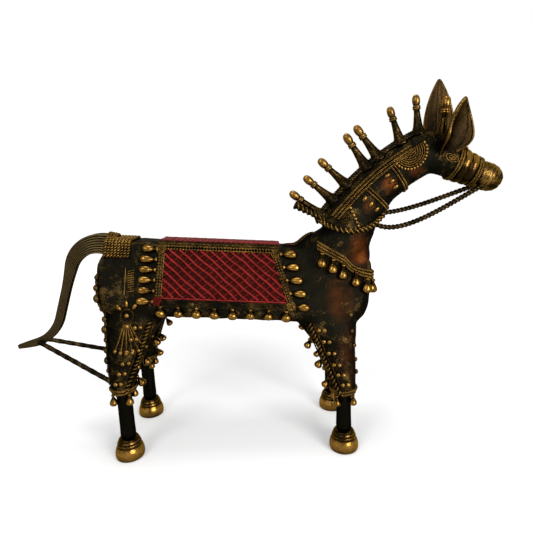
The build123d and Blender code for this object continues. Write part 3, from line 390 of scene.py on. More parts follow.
print("belly drops on one side:", len(islands("belly_bells_left")))

# %% [markdown]
# Three kinds of wax form come back again and again: turned ones, such as drops and hooves, tubes about
# an axis, such as the muzzle, and thin leaves. Spin and Solidify could make them. Plain rings of points
# let each point also say how far it is rubbed.

# %% Turned forms and leaves
def ring_faces(rings):
    """Faces between rings of points, each a run of indices. A ring of one point is a pole."""
    faces = []
    for low, high in zip(rings, rings[1:]):
        count = max(len(low), len(high))
        for k in range(count):
            after = k + 1
            corners = (low[k % len(low)], low[after % len(low)], high[after % len(high)], high[k % len(high)])
            faces.append(tuple(dict.fromkeys(corners)))
    for end in (tuple(reversed(rings[0])), tuple(rings[-1])):
        if len(end) > 1:
            faces.append(end)
    return faces


def lathe(profile, segments):
    """A turned form from (radius, height, raised) stations in millimetres, along +Z."""
    verts, raised, rings = [], [], []
    for radius, height, value in profile:
        count = segments if radius else 1
        rings.append(range(len(verts), len(verts) + count))
        raised += [value] * count
        for k in range(count):
            turn = 2 * pi * k / count
            verts.append((radius * MM * cos(turn), radius * MM * sin(turn), height * MM))
    return verts, ring_faces(rings), raised


def outward(mesh):
    """The same closed mesh, with all its faces turned outwards."""
    work = bmesh.new()
    work.from_mesh(mesh)
    bmesh.ops.recalc_face_normals(work, faces=work.faces)
    work.to_mesh(mesh)
    work.free()
    return mesh


def closed_sheet(name, rows, columns, place):
    """A thin sheet with two faces and a rim. place(u, v, lift) gives a point and how far it is rubbed."""
    verts, values, faces = [], [], []
    for lift in (1, -1):
        for i in range(rows + 1):
            for j in range(columns + 1):
                point, value = place(j / columns, i / rows, lift)
                verts.append(point)
                values.append(value)
    wide = columns + 1
    under = (rows + 1) * wide
    for i in range(rows):
        for j in range(columns):
            a = i * wide + j
            faces.append((a, a + 1, a + wide + 1, a + wide))
            faces.append((under + a, under + a + wide, under + a + wide + 1, under + a + 1))
    rim = list(range(columns)) + [i * wide + columns for i in range(rows)]
    rim += [rows * wide + j for j in range(columns, 0, -1)] + [i * wide for i in range(rows, 0, -1)]
    for a, b in zip(rim, rim[1:] + rim[:1]):
        faces.append((b, a, under + a, under + b))
    return outward(mesh_of(name, verts, faces, raised=values))


print("a ring between two poles has", len(ring_faces([range(1), range(1, 7), range(7, 8)])), "faces")

# %% [markdown]
# ## The skin
#
# The trunk, neck, head and upper legs are one skin on the real horse, with no seam between them. A
# Boolean union would keep hard creases, so their solids, with a fill of wax at the throat and one at
# the withers, go through a voxel remesh of a little over a millimetre, and are smoothed so that the
# joints flow.

# %% Shells joined into one skin
SKIN_NODES = ("trunk_skin", "neck", "head", "hind_leg_left", "hind_leg_right", "fore_leg_left",
              "fore_leg_right")
THROAT_FILL = (77.5, 118.0, 13.0, 11.0, 12.6, 90.0)
WITHERS_FILL = (46.0, 120.6, 20.0, 6.0, 8.0, 13.0)
VOXEL = 1.15
skin_verts, skin_faces = [], []


def add_shell(verts, faces):
    """One more shell for the skin to go round."""
    offset = len(skin_verts)
    skin_verts.extend(verts)
    skin_faces.extend([i + offset for i in face] for face in faces)


def applied(mesh, name, *modifiers):
    """A mesh with modifiers applied, as a plain mesh."""
    obj = bpy.data.objects.new(name, mesh)
    bpy.context.scene.collection.objects.link(obj)
    for kind, settings in modifiers:
        modifier = obj.modifiers.new(kind, kind)
        for key, value in settings.items():
            setattr(modifier, key, value)
    graph = bpy.context.evaluated_depsgraph_get()
    plain = bpy.data.meshes.new_from_object(obj.evaluated_get(graph))
    bpy.data.objects.remove(obj)
    plain.name = name
    return plain


for node in SKIN_NODES:
    add_shell(*max(islands(node), key=lambda item: np.ptp(item[0], axis=0).prod()))
for x, z, long, deep, wide, tip in (THROAT_FILL, WITHERS_FILL):
    egg = [(sin(t), -long * cos(t), 0) for t in np.linspace(0.05, pi - 0.05, 16)]
    verts, faces, _ = lathe(egg, 28)
    turn = Matrix.Rotation(radians(90.0 - tip), 3, "Y")
    add_shell([at(x, 0, z) + turn @ Vector((v[0] * deep, v[1] * wide, v[2])) for v in verts], faces)
skin_mesh = applied(mesh_of("raw_skin", skin_verts, skin_faces), "body_skin",
                    ("REMESH", {"mode": "VOXEL", "voxel_size": VOXEL * MM}),
                    ("SMOOTH", {"factor": 0.5, "iterations": 14}))
print("skin:", len(skin_mesh.polygons), "faces")

# %% [markdown]
# Hand-laid wax is never quite even, and the neck is drawn in behind, where it leaves the withers. A
# Displace modifier could dent it. Here the points are moved by two noises along their normals, and the
# same arrays then say how far each point stands out from those around it.

# %% Drawing in and denting the skin
DRAWN_X, DRAWN_Z, DRAWN_IN = 66.0, 136.0, 6.5
DENTS = ((90, 0.4), (240, 0.24))


def read(items, key):
    """A mesh's points or normals as an array."""
    values = np.empty(len(items) * 3)
    items.foreach_get(key, values)
    return values.reshape(-1, 3)


def neighbours_mean(mesh, field, rounds):
    """A field on the points, averaged over their neighbours a number of times."""
    edges = np.empty(len(mesh.edges) * 2, np.int64)
    mesh.edges.foreach_get("vertices", edges)
    a, b = edges[0::2], edges[1::2]
    count = np.bincount(np.concatenate((a, b)), minlength=len(mesh.vertices)).reshape(-1, 1)
    for _ in range(rounds):
        total = np.zeros_like(field)
        np.add.at(total, a, field[b])
        np.add.at(total, b, field[a])
        field = total / np.maximum(count, 1)
    return field


points = read(skin_mesh.vertices, "co")
height_share = np.exp(-((points[:, 2] / MM - DRAWN_Z) / 4.5) ** 2)
points[:, 0] += DRAWN_IN * MM * height_share * np.clip((at(DRAWN_X, 0, 0).x - points[:, 0]) / MM / 12, 0, 1)
push = np.array([sum(noise.noise(Vector(p) * scale) * size for scale, size in DENTS) for p in points])
points = points + read(skin_mesh.vertex_normals, "vector") * push[:, None] * MM
skin_mesh.vertices.foreach_set("co", points.ravel())
skin_mesh.update()
apart = points - neighbours_mean(skin_mesh, points, 6)
proud = (apart * read(skin_mesh.vertex_normals, "vector")).sum(1) / MM
print("dents up to", round(float(np.abs(push).max()), 2), "mm")

# %% [markdown]
# The patina is thin where hands have worn it, on the haunch and the chest, and amber lacquer still lies
# on the breast and between the straps. The front of the face is rubbed bright. Each patch is an oval in
# the side view, which is enough for soft edges that noise breaks up later.

# %% Wear and lacquer on the skin
LACQUERED = ((79, 123, 6, 8, 0.72), (66, 95, 7, 11, 0.22), (97, 160, 4, 4, 0.7), (85, 149, 3, 4, 0.3),
             (114, 168, 4, 3, 0.4), (70, 62, 6, 15, 0.2))
WORN = ((-66, 107, 8, 10, 0.45), (-62, 74, 6, 9, 0.25), (62, 112, 6, 6, 0.25), (76, 140, 5, 7, 0.25))
FACE_STATION, FACE_LOW = 21.5, -2.5


def reach_of(x, z, half_x, half_z):
    """How far the skin's points lie from the middle of a patch, 1 at its edge."""
    return np.hypot((points[:, 0] - at(x, 0, 0).x) / half_x, (points[:, 2] - z * MM) / half_z) / MM


raised = np.clip(0.05 + proud * 1.6, 0, 0.5)
lacquer = np.full(len(points), 0.02)
for *patch, strength in LACQUERED:
    lacquer = np.maximum(lacquer, strength * np.clip(1.5 - reach_of(*patch), 0, 1))
for *patch, strength in WORN:
    raised += strength * np.clip(1.4 - reach_of(*patch), 0, 1)
face = head_at(FACE_STATION, 0, 0)
station = (points - np.array(face)) @ np.array(head_at(FACE_STATION + 1, 0, 0) - face) / MM**2
rise = (points - np.array(face)) @ np.array(head_at(FACE_STATION, 1, 0) - face) / MM**2
raised = np.maximum(raised, 0.95 * np.clip(station, 0, 1) * np.clip((rise - FACE_LOW) / 2, 0, 1))
store_on(skin_mesh, "raised", raised)
store_on(skin_mesh, "lacquer", lacquer)
skin_mesh.shade_smooth()
piece("body_skin", skin_mesh, skin_mat, *SKIN_NODES)
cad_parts["clay_core"].data.materials.clear()
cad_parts["clay_core"].data.materials.append(clay_mat)
print("rubbed share of the skin:", round(float(raised.mean()), 2))

# %% [markdown]
# Threads have to lie on that skin. A Shrinkwrap modifier could pull them there after they are made. A
# ray from outside was chosen instead, because it gives both the point and the way the skin faces, so a
# path drawn in the side view is laid on the horse before its thread is rolled.

# %% Laying paths on the skin
OUTSIDE = 70.0
skin_tree = BVHTree.FromPolygons([Vector(p) for p in points], [tuple(f.vertices) for f in skin_mesh.polygons])


def hits(rays, lift):
    """Where rays of (origin, way) meet the skin, lifted by millimetres, with its normals."""
    found = []
    for origin, way in rays:
        hit, normal, _, _ = skin_tree.ray_cast(origin, way.normalized())
        if hit is not None:
            normal = -normal if normal.dot(way) > 0 else normal
            found.append((hit + normal * lift * MM, normal))
    return found


def on_side(path, sign, lift):
    """A path in the side view, laid on one side of the horse. Points that miss that side are left out."""
    found = hits([(at(x, sign * OUTSIDE, z), LEFT * -sign) for x, z in path], lift)
    return [item for item in found if item[0].y * sign > 0]


def around(middle, first, second, start, stop, count, lift, reach=60.0):
    """A path round a limb: rays come in towards its middle, turning from one axis to another."""
    turns = np.linspace(radians(start), radians(stop), count)
    outs = [first * cos(turn) + second * sin(turn) for turn in turns]
    return hits([(middle + out * reach * MM, -out) for out in outs], lift)


def line(start, stop, count):
    """Points between two, in the side view."""
    return list(zip(np.linspace(start[0], stop[0], count), np.linspace(start[1], stop[1], count)))


def arc(middle, radius, start, stop, count):
    """Points on an arc, in the side view."""
    turns = np.linspace(start, stop, count)
    return [(middle[0] + radius * cos(turn), middle[1] + radius * sin(turn)) for turn in turns]


def studs(found, size):
    """A place, an aim and a size for a bead on each laid point."""
    return [(point, normal, size) for point, normal in found]


print("skin at the girth:", [round(v, 4) for v in on_side([(0, 100)], 1, 0)[0][0]])

# %% [markdown]
# ## Three trees for wax work
#
# A rolled thread, or a cord twisted from two or three, is a section with as many lobes that turns as it
# goes along. A bevelled curve gives a round thread only, so this tree shapes the section itself, tilts
# the curve, and keeps on each point how far out it lies. It ends in realised geometry with its material.

# %% Geometry Nodes: cord
GEOMETRY, MATERIAL, OBJECT = "NodeSocketGeometry", "NodeSocketMaterial", "NodeSocketObject"
SECTION_POINTS = 12


def wax_tree(name, *inputs):
    """A geometry tree with named inputs after the geometry itself."""
    return group_of("GeometryNodeTree", name, [("Geometry", GEOMETRY), *inputs], [("Geometry", GEOMETRY)])


def attribute(tree, name, kind="FLOAT"):
    """A named attribute's value."""
    return add(tree, "GeometryNodeInputNamedAttribute", {"Name": name}, data_type=kind).outputs["Attribute"]


def evened(tree, given):
    """The paths as curves, with points at an even step."""
    curve = add(tree, "GeometryNodeMeshToCurve", {"Mesh": given.outputs["Geometry"]}).outputs["Curve"]
    inputs = {"Curve": curve, "Length": given.outputs["Step"]}
    return add(tree, "GeometryNodeResampleCurve", inputs, mode="LENGTH").outputs["Curve"]


def close_tree(tree, geometry, given, result):
    """Realise, smooth and dress the geometry, and send it out."""
    real = add(tree, "GeometryNodeRealizeInstances", {"Geometry": geometry}).outputs["Geometry"]
    smooth = add(tree, "GeometryNodeSetShadeSmooth", {"Geometry": real}).outputs["Geometry"]
    dressed = add(tree, "GeometryNodeSetMaterial",
                  {"Geometry": smooth, "Material": given.outputs["Material"]})
    fill(tree, result, {0: dressed.outputs["Geometry"]})


cord_tree, given, result = wax_tree("Cord", ("Radius", FLOAT), ("Pitch", FLOAT), ("Lobes", FLOAT),
                                    ("Depth", FLOAT), ("Step", FLOAT), ("Material", MATERIAL))
sums, new = partial(calc, cord_tree), partial(add, cord_tree)
run = new("GeometryNodeSplineParameter")
turns = sums("DIVIDE", run.outputs["Length"], given.outputs["Pitch"])
tilt = sums("MULTIPLY", turns, 2 * pi)
twisted = new("GeometryNodeSetCurveTilt", {"Curve": evened(cord_tree, given), "Tilt": tilt})
wave = sums("MULTIPLY", sums("MULTIPLY", run.outputs["Factor"], 2 * pi), given.outputs["Lobes"])
wave = sums("COSINE", wave)
reach = sums("ADD", 1.0, sums("MULTIPLY", wave, given.outputs["Depth"]))
reach = sums("MULTIPLY", reach, given.outputs["Radius"])
place = new("GeometryNodeInputPosition").outputs["Position"]
lobed = new("ShaderNodeVectorMath", {0: place, "Scale": reach}, operation="SCALE")
ring = new("GeometryNodeCurvePrimitiveCircle", {"Resolution": SECTION_POINTS, "Radius": 1.0})
section = new("GeometryNodeSetPosition",
              {"Geometry": ring.outputs["Curve"], "Position": lobed.outputs["Vector"]})
rubbed = sums("ADD", 0.5, sums("MULTIPLY", wave, sums("MULTIPLY", given.outputs["Depth"], 1.6)))
section = new("GeometryNodeStoreNamedAttribute",
              {"Geometry": section.outputs["Geometry"], "Name": "raised", "Value": rubbed},
              data_type="FLOAT", domain="POINT")
tube = new("GeometryNodeCurveToMesh", {
    "Curve": twisted.outputs["Curve"], "Profile Curve": section.outputs["Geometry"],
    "Scale": attribute(cord_tree, "rad"), "Fill Caps": True})
close_tree(cord_tree, tube.outputs["Mesh"], given, result)
print("tree:", cord_tree.name)

# %% [markdown]
# Drops, beads and pegs are one form set on many points, each aimed along an attribute. Copies could be
# placed by hand, but hand-made drops are never quite the same, so the tree turns each one about its
# own axis and varies its size a little, with fixed seeds.

# %% Geometry Nodes: drops
SMALLEST, LARGEST = 0.92, 1.06
drop_tree, given, result = wax_tree("Drops", ("Form", OBJECT), ("Material", MATERIAL))
new = partial(add, drop_tree)
form = new("GeometryNodeObjectInfo", {"Object": given.outputs["Form"]})
spin_angle = new("FunctionNodeRandomValue", {3: 2 * pi, "Seed": 7}, data_type="FLOAT")
vary = new("FunctionNodeRandomValue", {2: SMALLEST, 3: LARGEST, "Seed": 3}, data_type="FLOAT")
aim = new("FunctionNodeAlignRotationToVector", {"Vector": attribute(drop_tree, "aim", "FLOAT_VECTOR")},
          axis="Z")
spin = new("FunctionNodeAxisAngleToRotation", {"Axis": (0, 0, 1), "Angle": spin_angle.outputs[1]})
stand = new("FunctionNodeRotateRotation",
            {"Rotation": aim.outputs["Rotation"], "Rotate By": spin.outputs["Rotation"]},
            rotation_space="LOCAL")
drop_set = new("GeometryNodeInstanceOnPoints", {
    "Points": given.outputs["Geometry"], "Instance": form.outputs["Geometry"],
    "Rotation": stand.outputs["Rotation"],
    "Scale": calc(drop_tree, "MULTIPLY", attribute(drop_tree, "rad"), vary.outputs[1])})
close_tree(drop_tree, drop_set.outputs["Instances"], given, result)
print("tree:", drop_tree.name)

# %% [markdown]
# A flat braid shows two rows of slanting grains that lean against each other. Weaving real strands would
# take far more faces than the eye can tell, so this tree sets one small grain at each step, on both
# sides of the path.

# %% Geometry Nodes: braid
braid_tree, given, result = wax_tree("Braid", ("Form", OBJECT), ("Step", FLOAT), ("Half width", FLOAT),
                                     ("Slant", FLOAT), ("Material", MATERIAL))
sums, new = partial(calc, braid_tree), partial(add, braid_tree)
path = evened(braid_tree, given)
form = new("GeometryNodeObjectInfo", {"Object": given.outputs["Form"]})
tangent = new("GeometryNodeInputTangent").outputs["Tangent"]
facing = attribute(braid_tree, "nor", "FLOAT_VECTOR")
lie = new("FunctionNodeAxesToRotation", {"Primary Axis": facing, "Secondary Axis": tangent},
          primary_axis="Z", secondary_axis="X")
across = new("ShaderNodeVectorMath", {0: tangent, 1: facing}, operation="CROSS_PRODUCT")
both_rows = new("GeometryNodeJoinGeometry")
for sign in (-1, 1):
    half = sums("MULTIPLY", given.outputs["Half width"], sign)
    aside = new("ShaderNodeVectorMath", {0: across.outputs["Vector"], "Scale": half}, operation="SCALE")
    row = new("GeometryNodeSetPosition", {"Geometry": path, "Offset": aside.outputs["Vector"]})
    angle = sums("MULTIPLY", given.outputs["Slant"], sign)
    slant = new("FunctionNodeAxisAngleToRotation", {"Axis": (0, 0, 1), "Angle": angle})
    leaning = new("FunctionNodeRotateRotation",
                  {"Rotation": lie.outputs["Rotation"], "Rotate By": slant.outputs["Rotation"]},
                  rotation_space="LOCAL")
    grains = new("GeometryNodeInstanceOnPoints", {
        "Points": row.outputs["Geometry"], "Instance": form.outputs["Geometry"],
        "Rotation": leaning.outputs["Rotation"]})
    fill(braid_tree, both_rows, {"Geometry": grains.outputs["Instances"]})
close_tree(braid_tree, both_rows.outputs["Geometry"], given, result)
print("tree:", braid_tree.name)

# %% [markdown]
# Each tree runs on a mesh of paths or points, and its result becomes a plain mesh at once, because a
# piece has to stand alone. The inputs go in by their sockets' identifiers, which stay the same when a
# socket is renamed.

# %% Running the trees
def run_tree(name, tree, mesh, **inputs):
    """A plain mesh from a tree run on a mesh of paths or points."""
    obj = bpy.data.objects.new(name, mesh)
    bpy.context.scene.collection.objects.link(obj)
    modifier = obj.modifiers.new("tree", "NODES")
    modifier.node_group = tree
    for item in tree.interface.items_tree:
        key = item.name.lower().replace(" ", "_")
        if item.in_out == "INPUT" and key in inputs:
            modifier[item.identifier] = inputs[key]
    graph = bpy.context.evaluated_depsgraph_get()
    plain = bpy.data.meshes.new_from_object(obj.evaluated_get(graph), preserve_all_data_layers=True,
                                            depsgraph=graph)
    bpy.data.objects.remove(obj)
    plain.name = name
    return plain


def path_mesh(name, paths, radii=None):
    """Paths of (point, normal) as edges, with the normal and a relative radius on each point."""
    verts, edges, facing, scale = [], [], [], []
    for number, path in enumerate(paths):
        start = len(verts)
        edges += [(start + k, start + k + 1) for k in range(len(path) - 1)]
        verts += [tuple(point) for point, _ in path]
        facing += [tuple(normal) for _, normal in path]
        scale += [1.0] * len(path) if radii is None else list(radii[number])
    mesh = bpy.data.meshes.new(name)
    mesh.from_pydata(verts, edges, [])
    store_on(mesh, "nor", facing, "FLOAT_VECTOR")
    store_on(mesh, "rad", scale)
    return mesh


def cords(name, paths, radius, material, *replaced, pitch, depth, lobes=3, step=0.5, radii=None, slot=None):
    """Twisted or plain threads along paths, as one piece. Sizes in millimetres."""
    source = path_mesh(name, [path for path in paths if len(path) > 1], radii)
    mesh = run_tree(name, cord_tree, source, radius=radius * MM, pitch=pitch * MM, lobes=float(lobes),
                    depth=depth, step=step * MM, material=material)
    return piece(name, mesh, material, *replaced, slot=slot)


def drops(name, spots, form, material, *replaced):
    """A turned form on each (point, aim, size)."""
    mesh = bpy.data.meshes.new(name)
    mesh.from_pydata([tuple(point) for point, _, _ in spots], [], [])
    store_on(mesh, "aim", [tuple(aim) for _, aim, _ in spots], "FLOAT_VECTOR")
    store_on(mesh, "rad", [size for _, _, size in spots])
    return piece(name, run_tree(name, drop_tree, mesh, form=form, material=material), material, *replaced)


def braids(name, paths, form, material, *replaced, step, half, slant):
    """Two rows of slanting grains along paths."""
    mesh = run_tree(name, braid_tree, path_mesh(name, paths), form=form, step=step * MM, half_width=half * MM,
                    slant=radians(slant), material=material)
    return piece(name, mesh, material, *replaced)


print("trees ready:", cord_tree.name, drop_tree.name, braid_tree.name)

# %% [markdown]
# The forms are turned between the fingers: drops with a collar and a belly, long ones beside the cloth
# and round ones under it, petals, beads and the braid's grains. A profile of a few stations is all that
# a form this small needs, and its third number says how far the patina is rubbed off there.

# %% Forms for the trees
def form_object(name, profile, segments):
    """A turned form kept out of the picture, for the trees to set on points."""
    verts, faces, values = lathe(profile, segments)
    return bpy.data.objects.new(name, mesh_of(name, verts, faces, raised=values))


BELL = form_object("form_bell", [
    (0.0, 0.0, 0.1), (0.7, 0.02, 0.25), (1.1, 0.4, 0.65), (1.2, 0.85, 0.8), (0.95, 1.35, 0.35),
    (0.62, 1.6, 0.0), (0.8, 2.0, 0.05), (1.25, 2.8, 0.3), (1.85, 3.9, 0.6), (2.35, 5.0, 0.85),
    (2.55, 5.85, 0.9), (2.35, 6.7, 0.7), (1.7, 7.35, 0.5), (0.85, 7.65, 0.35), (0.0, 7.7, 0.3)], 22)
LONG_BELL = form_object("form_long_bell", [
    (0.0, 0.0, 0.1), (0.75, 0.02, 0.25), (1.1, 0.4, 0.7), (1.15, 0.95, 0.8), (0.9, 1.5, 0.35),
    (0.6, 1.8, 0.0), (0.8, 2.2, 0.1), (1.3, 3.0, 0.5), (1.75, 4.2, 0.8), (2.05, 5.6, 0.95),
    (2.1, 6.8, 0.95), (1.9, 7.9, 0.75), (1.35, 8.7, 0.5), (0.7, 9.05, 0.35), (0.0, 9.1, 0.3)], 22)
ROUND_BELL = form_object("form_round_bell", [
    (0.0, 0.0, 0.1), (0.8, 0.02, 0.2), (1.2, 0.4, 0.6), (1.3, 0.9, 0.7), (1.1, 1.3, 0.3),
    (0.95, 1.5, 0.0), (1.6, 1.85, 0.2), (2.35, 2.6, 0.6), (2.8, 3.6, 0.85), (2.85, 4.4, 0.9),
    (2.55, 5.3, 0.75), (1.85, 5.95, 0.5), (0.9, 6.3, 0.35), (0.0, 6.4, 0.3)], 22)
PETAL = form_object("form_petal", [
    (0.0, -2.5, 0.2), (0.6, -2.2, 0.4), (1.05, -1.2, 0.7), (1.25, 0.2, 0.95), (1.05, 1.5, 0.8),
    (0.55, 2.3, 0.5), (0.0, 2.6, 0.3)], 14)
BEAD = form_object("form_bead", [
    (0.0, -0.55, 0.1), (0.5, -0.45, 0.2), (0.85, -0.1, 0.5), (0.95, 0.2, 0.8), (0.8, 0.6, 1.0),
    (0.4, 0.85, 1.0), (0.0, 0.93, 1.0)], 12)
GRAIN = form_object("form_grain", [
    (0.0, -1.1, 0.2), (0.3, -0.9, 0.4), (0.48, -0.4, 0.8), (0.52, 0.0, 1.0), (0.48, 0.4, 0.8),
    (0.3, 0.9, 0.4), (0.0, 1.1, 0.2)], 8)
GRAIN.data.transform(Matrix.Rotation(pi / 2, 4, "Y"))
print("forms:", BELL.name, LONG_BELL.name, ROUND_BELL.name, PETAL.name, BEAD.name, GRAIN.name)

# %% [markdown]
# ## Legs and hooves
#
# The shanks are plain black bars. Each hoof is a flared foot with three turns of thread above it. Its
# bulge is rubbed to gold and also carries a painted highlight, and its foot is kept darker. Both are
# round, so a turned profile under each leg is the shortest way.

# %% Shanks and hooves
HOOF_TOP = 13.0
# The third numbers hold rubbing and painted light together: darker at the foot, highest on the bulge, where a
# painted highlight lies on the rubbed gold, and nothing in the grooves between the turns.
HOOF = [
    (0.0, 0.0, 0.4), (7.9, 0.0, 0.2), (8.55, 0.5, 0.4), (8.9, 1.6, 0.7), (8.95, 3.2, 0.95),
    (8.75, 4.8, 1.15), (8.3, 6.3, 1.1), (7.7, 7.6, 0.7), (7.3, 8.3, 0.0), (7.45, 8.7, 0.4),
    (7.3, 9.5, 0.6), (6.8, 10.1, 0.0), (6.9, 10.5, 0.3), (6.6, 11.3, 0.5), (6.0, 11.9, 0.0),
    (6.1, 12.2, 0.2), (5.5, 12.9, 0.3), (0.0, HOOF_TOP, 0.1)]


def turned(name, profile, x, y, material, node, segments):
    """A turned piece standing on the floor under one leg."""
    verts, faces, values = lathe(profile, segments)
    foot = at(x, y, 0)
    mesh = mesh_of(name, [Vector(v) + foot for v in verts], faces, raised=values)
    return piece(name, mesh, material, node)


for leg, x, hem in LEGS:
    shank = [(0.0, HOOF_TOP, 0.1), (4.5, HOOF_TOP, 0.2), (4.75, 16.0, 0.3), (4.55, 22.0, 0.1),
             (4.5, hem - 8, 0.1), (4.6, hem - 1, 0.1), (4.6, hem + 0.5, 0.0), (0.0, hem + 0.5, 0.0)]
    for side, sign in SIDES:
        turned(f"{leg}_hoof_{side}_coils", HOOF, x, sign * HOOF_Y, bell_mat, f"{leg}_hoof_{side}", 40)
        turned(f"{leg}_shank_{side}_bar", shank, x, sign * HOOF_Y, bar_mat, f"{leg}_shank_{side}", 24)
print("legs:", len(pieces), "pieces so far")

# %% [markdown]
# ## Drops
#
# Rows of drops, cast like small bells, hang round the cloth, the breast and the legs. Their places could
# be typed in again. They are read from the solids instead, where every drop is one closed shell, so each
# drop hangs from the place of its solid. Those of the cloth and the belly are set to its outer face.

# %% Drops from their solids
SOLID_BELLY, SOLID_LENGTH = 2.7, 7.0


def way_out(node, middle):
    """The way along which a row of drops is set to the outer face of its solids, or None."""
    sign = 1 if middle.y > 0 else -1
    if "saddle" in node:
        return side_normal(sign)
    return LEFT * sign if "belly" in node else None


def hang(node, aim_of, form):
    """A drop in the place of each shell of a node. aim_of gives its way from its middle."""
    spots = []
    growth = 1.14 if "saddle" in node else 1.08
    for verts, _ in islands(node):
        aim = aim_of(verts.mean(0))
        along = verts @ np.array(aim)
        middle = Vector((verts.max(0) + verts.min(0)) / 2)
        out = way_out(node, middle)
        if out is not None:
            middle += out * ((verts @ np.array(out)).max() - 0.9 * SOLID_BELLY * MM - middle.dot(out))
        root = middle + aim * (along.min() - middle.dot(aim))
        spots.append((root, aim, growth * (along.max() - along.min()) / (SOLID_LENGTH * MM)))
    drops(f"{node}_cast", spots, form, bell_mat, node)


def leg_aim(middle):
    """Down and in under the belly, for the drops on the legs' inner edges."""
    return Vector((-1 if middle[0] > MIDDLE_X else 1, 0, -1.6)).normalized()


ROWS = (("belly_bells", TRUNK_DOWN, ROUND_BELL), ("saddle_rear_bells", -TRUNK_AHEAD, LONG_BELL),
        ("saddle_front_bells", TRUNK_AHEAD, LONG_BELL), ("collar_bells", TRUNK_DOWN, BELL))
for row, aim, form in ROWS:
    for side, _ in SIDES:
        hang(f"{row}_{side}", lambda middle: aim, form)
hang("leg_bells", leg_aim, BELL)
hang("hem_bells", lambda middle: -UP, BELL)
print("drops:", sum(len(islands(n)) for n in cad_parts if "bells" in n))

# %% [markdown]
# ## Saddle cloth
#
# The cloth is a net of red threads over a dark red ground. Threads that fall towards the head lie on top,
# and the others pass under them. A Wireframe modifier on a grid would give even bars. Lines clipped to the
# cloth's outline, each swaying a little, look laid by hand.

# %% Lines of the net
REAR, TOP_LENGTH, LOW_LENGTH = -42.5, 64.0, 74.0
TOP = SIDE_SLOPE - 4.4
BOTTOM = TOP - 29.0
PANEL = [(REAR, BOTTOM), (REAR + LOW_LENGTH, BOTTOM), (REAR + TOP_LENGTH, TOP), (REAR, TOP)]
NET_PITCH, NET_SLOPE, NET_START = 6.2, tan(radians(39.0)), 1.2
NET_THREAD = {"lobes": 2, "depth": 0.04, "pitch": 30.0}


def clipped(start, stop, corners):
    """The part of a straight run inside a convex outline, or None."""
    low, high = 0.0, 1.0
    run_x, run_z = stop[0] - start[0], stop[1] - start[1]
    for (ax, az), (bx, bz) in zip(corners, corners[1:] + corners[:1]):
        inward = (az - bz, bx - ax)
        offset = (start[0] - ax) * inward[0] + (start[1] - az) * inward[1]
        slope = run_x * inward[0] + run_z * inward[1]
        if abs(slope) < 1e-9:
            if offset < 0:
                return None
            continue
        share = -offset / slope
        low, high = (max(low, share), high) if slope > 0 else (low, min(high, share))
    if high - low < 0.02:
        return None
    return [(start[0] + run_x * share, start[1] + run_z * share) for share in (low, high)]


def net_lines(corners, falling):
    """The threads of one direction inside an outline."""
    xs, zs = zip(*corners)
    first, last = (max(zs), min(zs)) if falling else (min(zs), max(zs))
    advance = (max(zs) - min(zs)) / NET_SLOPE
    found = []
    for k in range(int((max(xs) - min(xs) + advance) / NET_PITCH) + 2):
        x = min(xs) - advance + k * NET_PITCH + NET_START
        found.append(clipped((x, first), (x + advance, last), corners))
    return [ends for ends in found if ends]


def wavering(ends, place, seed, height):
    """A thread between two points of a panel, not quite straight. place gives its point and normal."""
    start, stop = ends
    path = []
    for x, z in line(start, stop, max(3, int(hypot(stop[0] - start[0], stop[1] - start[1]) / 1.5))):
        sway = noise.noise(Vector((x * 0.11, z * 0.11, seed))) * 0.55
        path.append(place(x + sway * 0.6, z + sway, height))
    return path


print("threads that fall ahead:", len(net_lines(PANEL, True)))

# %% [markdown]
# Each side of the cloth has its upper threads, its darker under threads, and the ground that is seen
# between them. The ground is a thin closed sheet, sunk a little into the skin, with small swells so that
# its lacquer isn't flat.

# %% The cloth on the sides
SUNK = -0.6
for side, sign in SIDES:
    def on_panel(x, z, height):
        """A point of the panel and its normal."""
        return side_at(x, z, height, sign), side_normal(sign)

    def ground(u, v, lift):
        """The dark red ground, wider at its foot."""
        x, z = REAR + (LOW_LENGTH + (TOP_LENGTH - LOW_LENGTH) * v) * u, BOTTOM + (TOP - BOTTOM) * v
        swell = 0.55 + 0.35 * noise.noise(Vector((x * 0.3, z * 0.3, 2)))
        return side_at(x, z, swell if lift > 0 else SUNK, sign), swell - 0.35

    under = [wavering(ends, on_panel, 3.0, 0.85) for ends in net_lines(PANEL, False)]
    over = [wavering(ends, on_panel, 9.0, 1.3) for ends in net_lines(PANEL, True)]
    cords(f"saddle_net_{side}", over, 0.78, lattice_mat, f"saddle_lattice_{side}", **NET_THREAD)
    cords(f"saddle_weft_{side}", under, 0.5, weft_mat, **NET_THREAD)
    piece(f"saddle_ground_{side}", closed_sheet(f"saddle_ground_{side}", 26, 60, ground), cloth_mat)
print("nets:", len(over), "threads over", len(under))

# %% [markdown]
# The frame round the cloth is flat braid on a dark bed, edged with fine threads, with gold lines next to
# the net and dark bands below it. All of it is straight on the leaning side, so lines in the side's own
# frame are laid at a fixed height, with no rays.

# %% Frame of the cloth
END, TOP_BORDER, LOW_BORDER = 4.4, 2.4, 5.4
FRAME_LOW, FRAME_HIGH = BOTTOM - LOW_BORDER, TOP + TOP_BORDER
PLAIN = {"pitch": 40.0, "depth": 0.02}


def slant_x(z):
    """The cloth's front edge at a height."""
    return REAR + LOW_LENGTH + (TOP_LENGTH - LOW_LENGTH) * (z - BOTTOM) / (TOP - BOTTOM)


def upright(rear, front, low, high):
    """One line beside the cloth's rear edge and one beside its front edge."""
    return [line((REAR + rear, low), (REAR + rear, high), 40),
            line((slant_x(low) + front, low), (slant_x(high) + front, high), 40)]


def level(z, past):
    """A line along the cloth, a little past its rear and front edges."""
    return line((REAR - past, z), (slant_x(z) + past, z), 50)


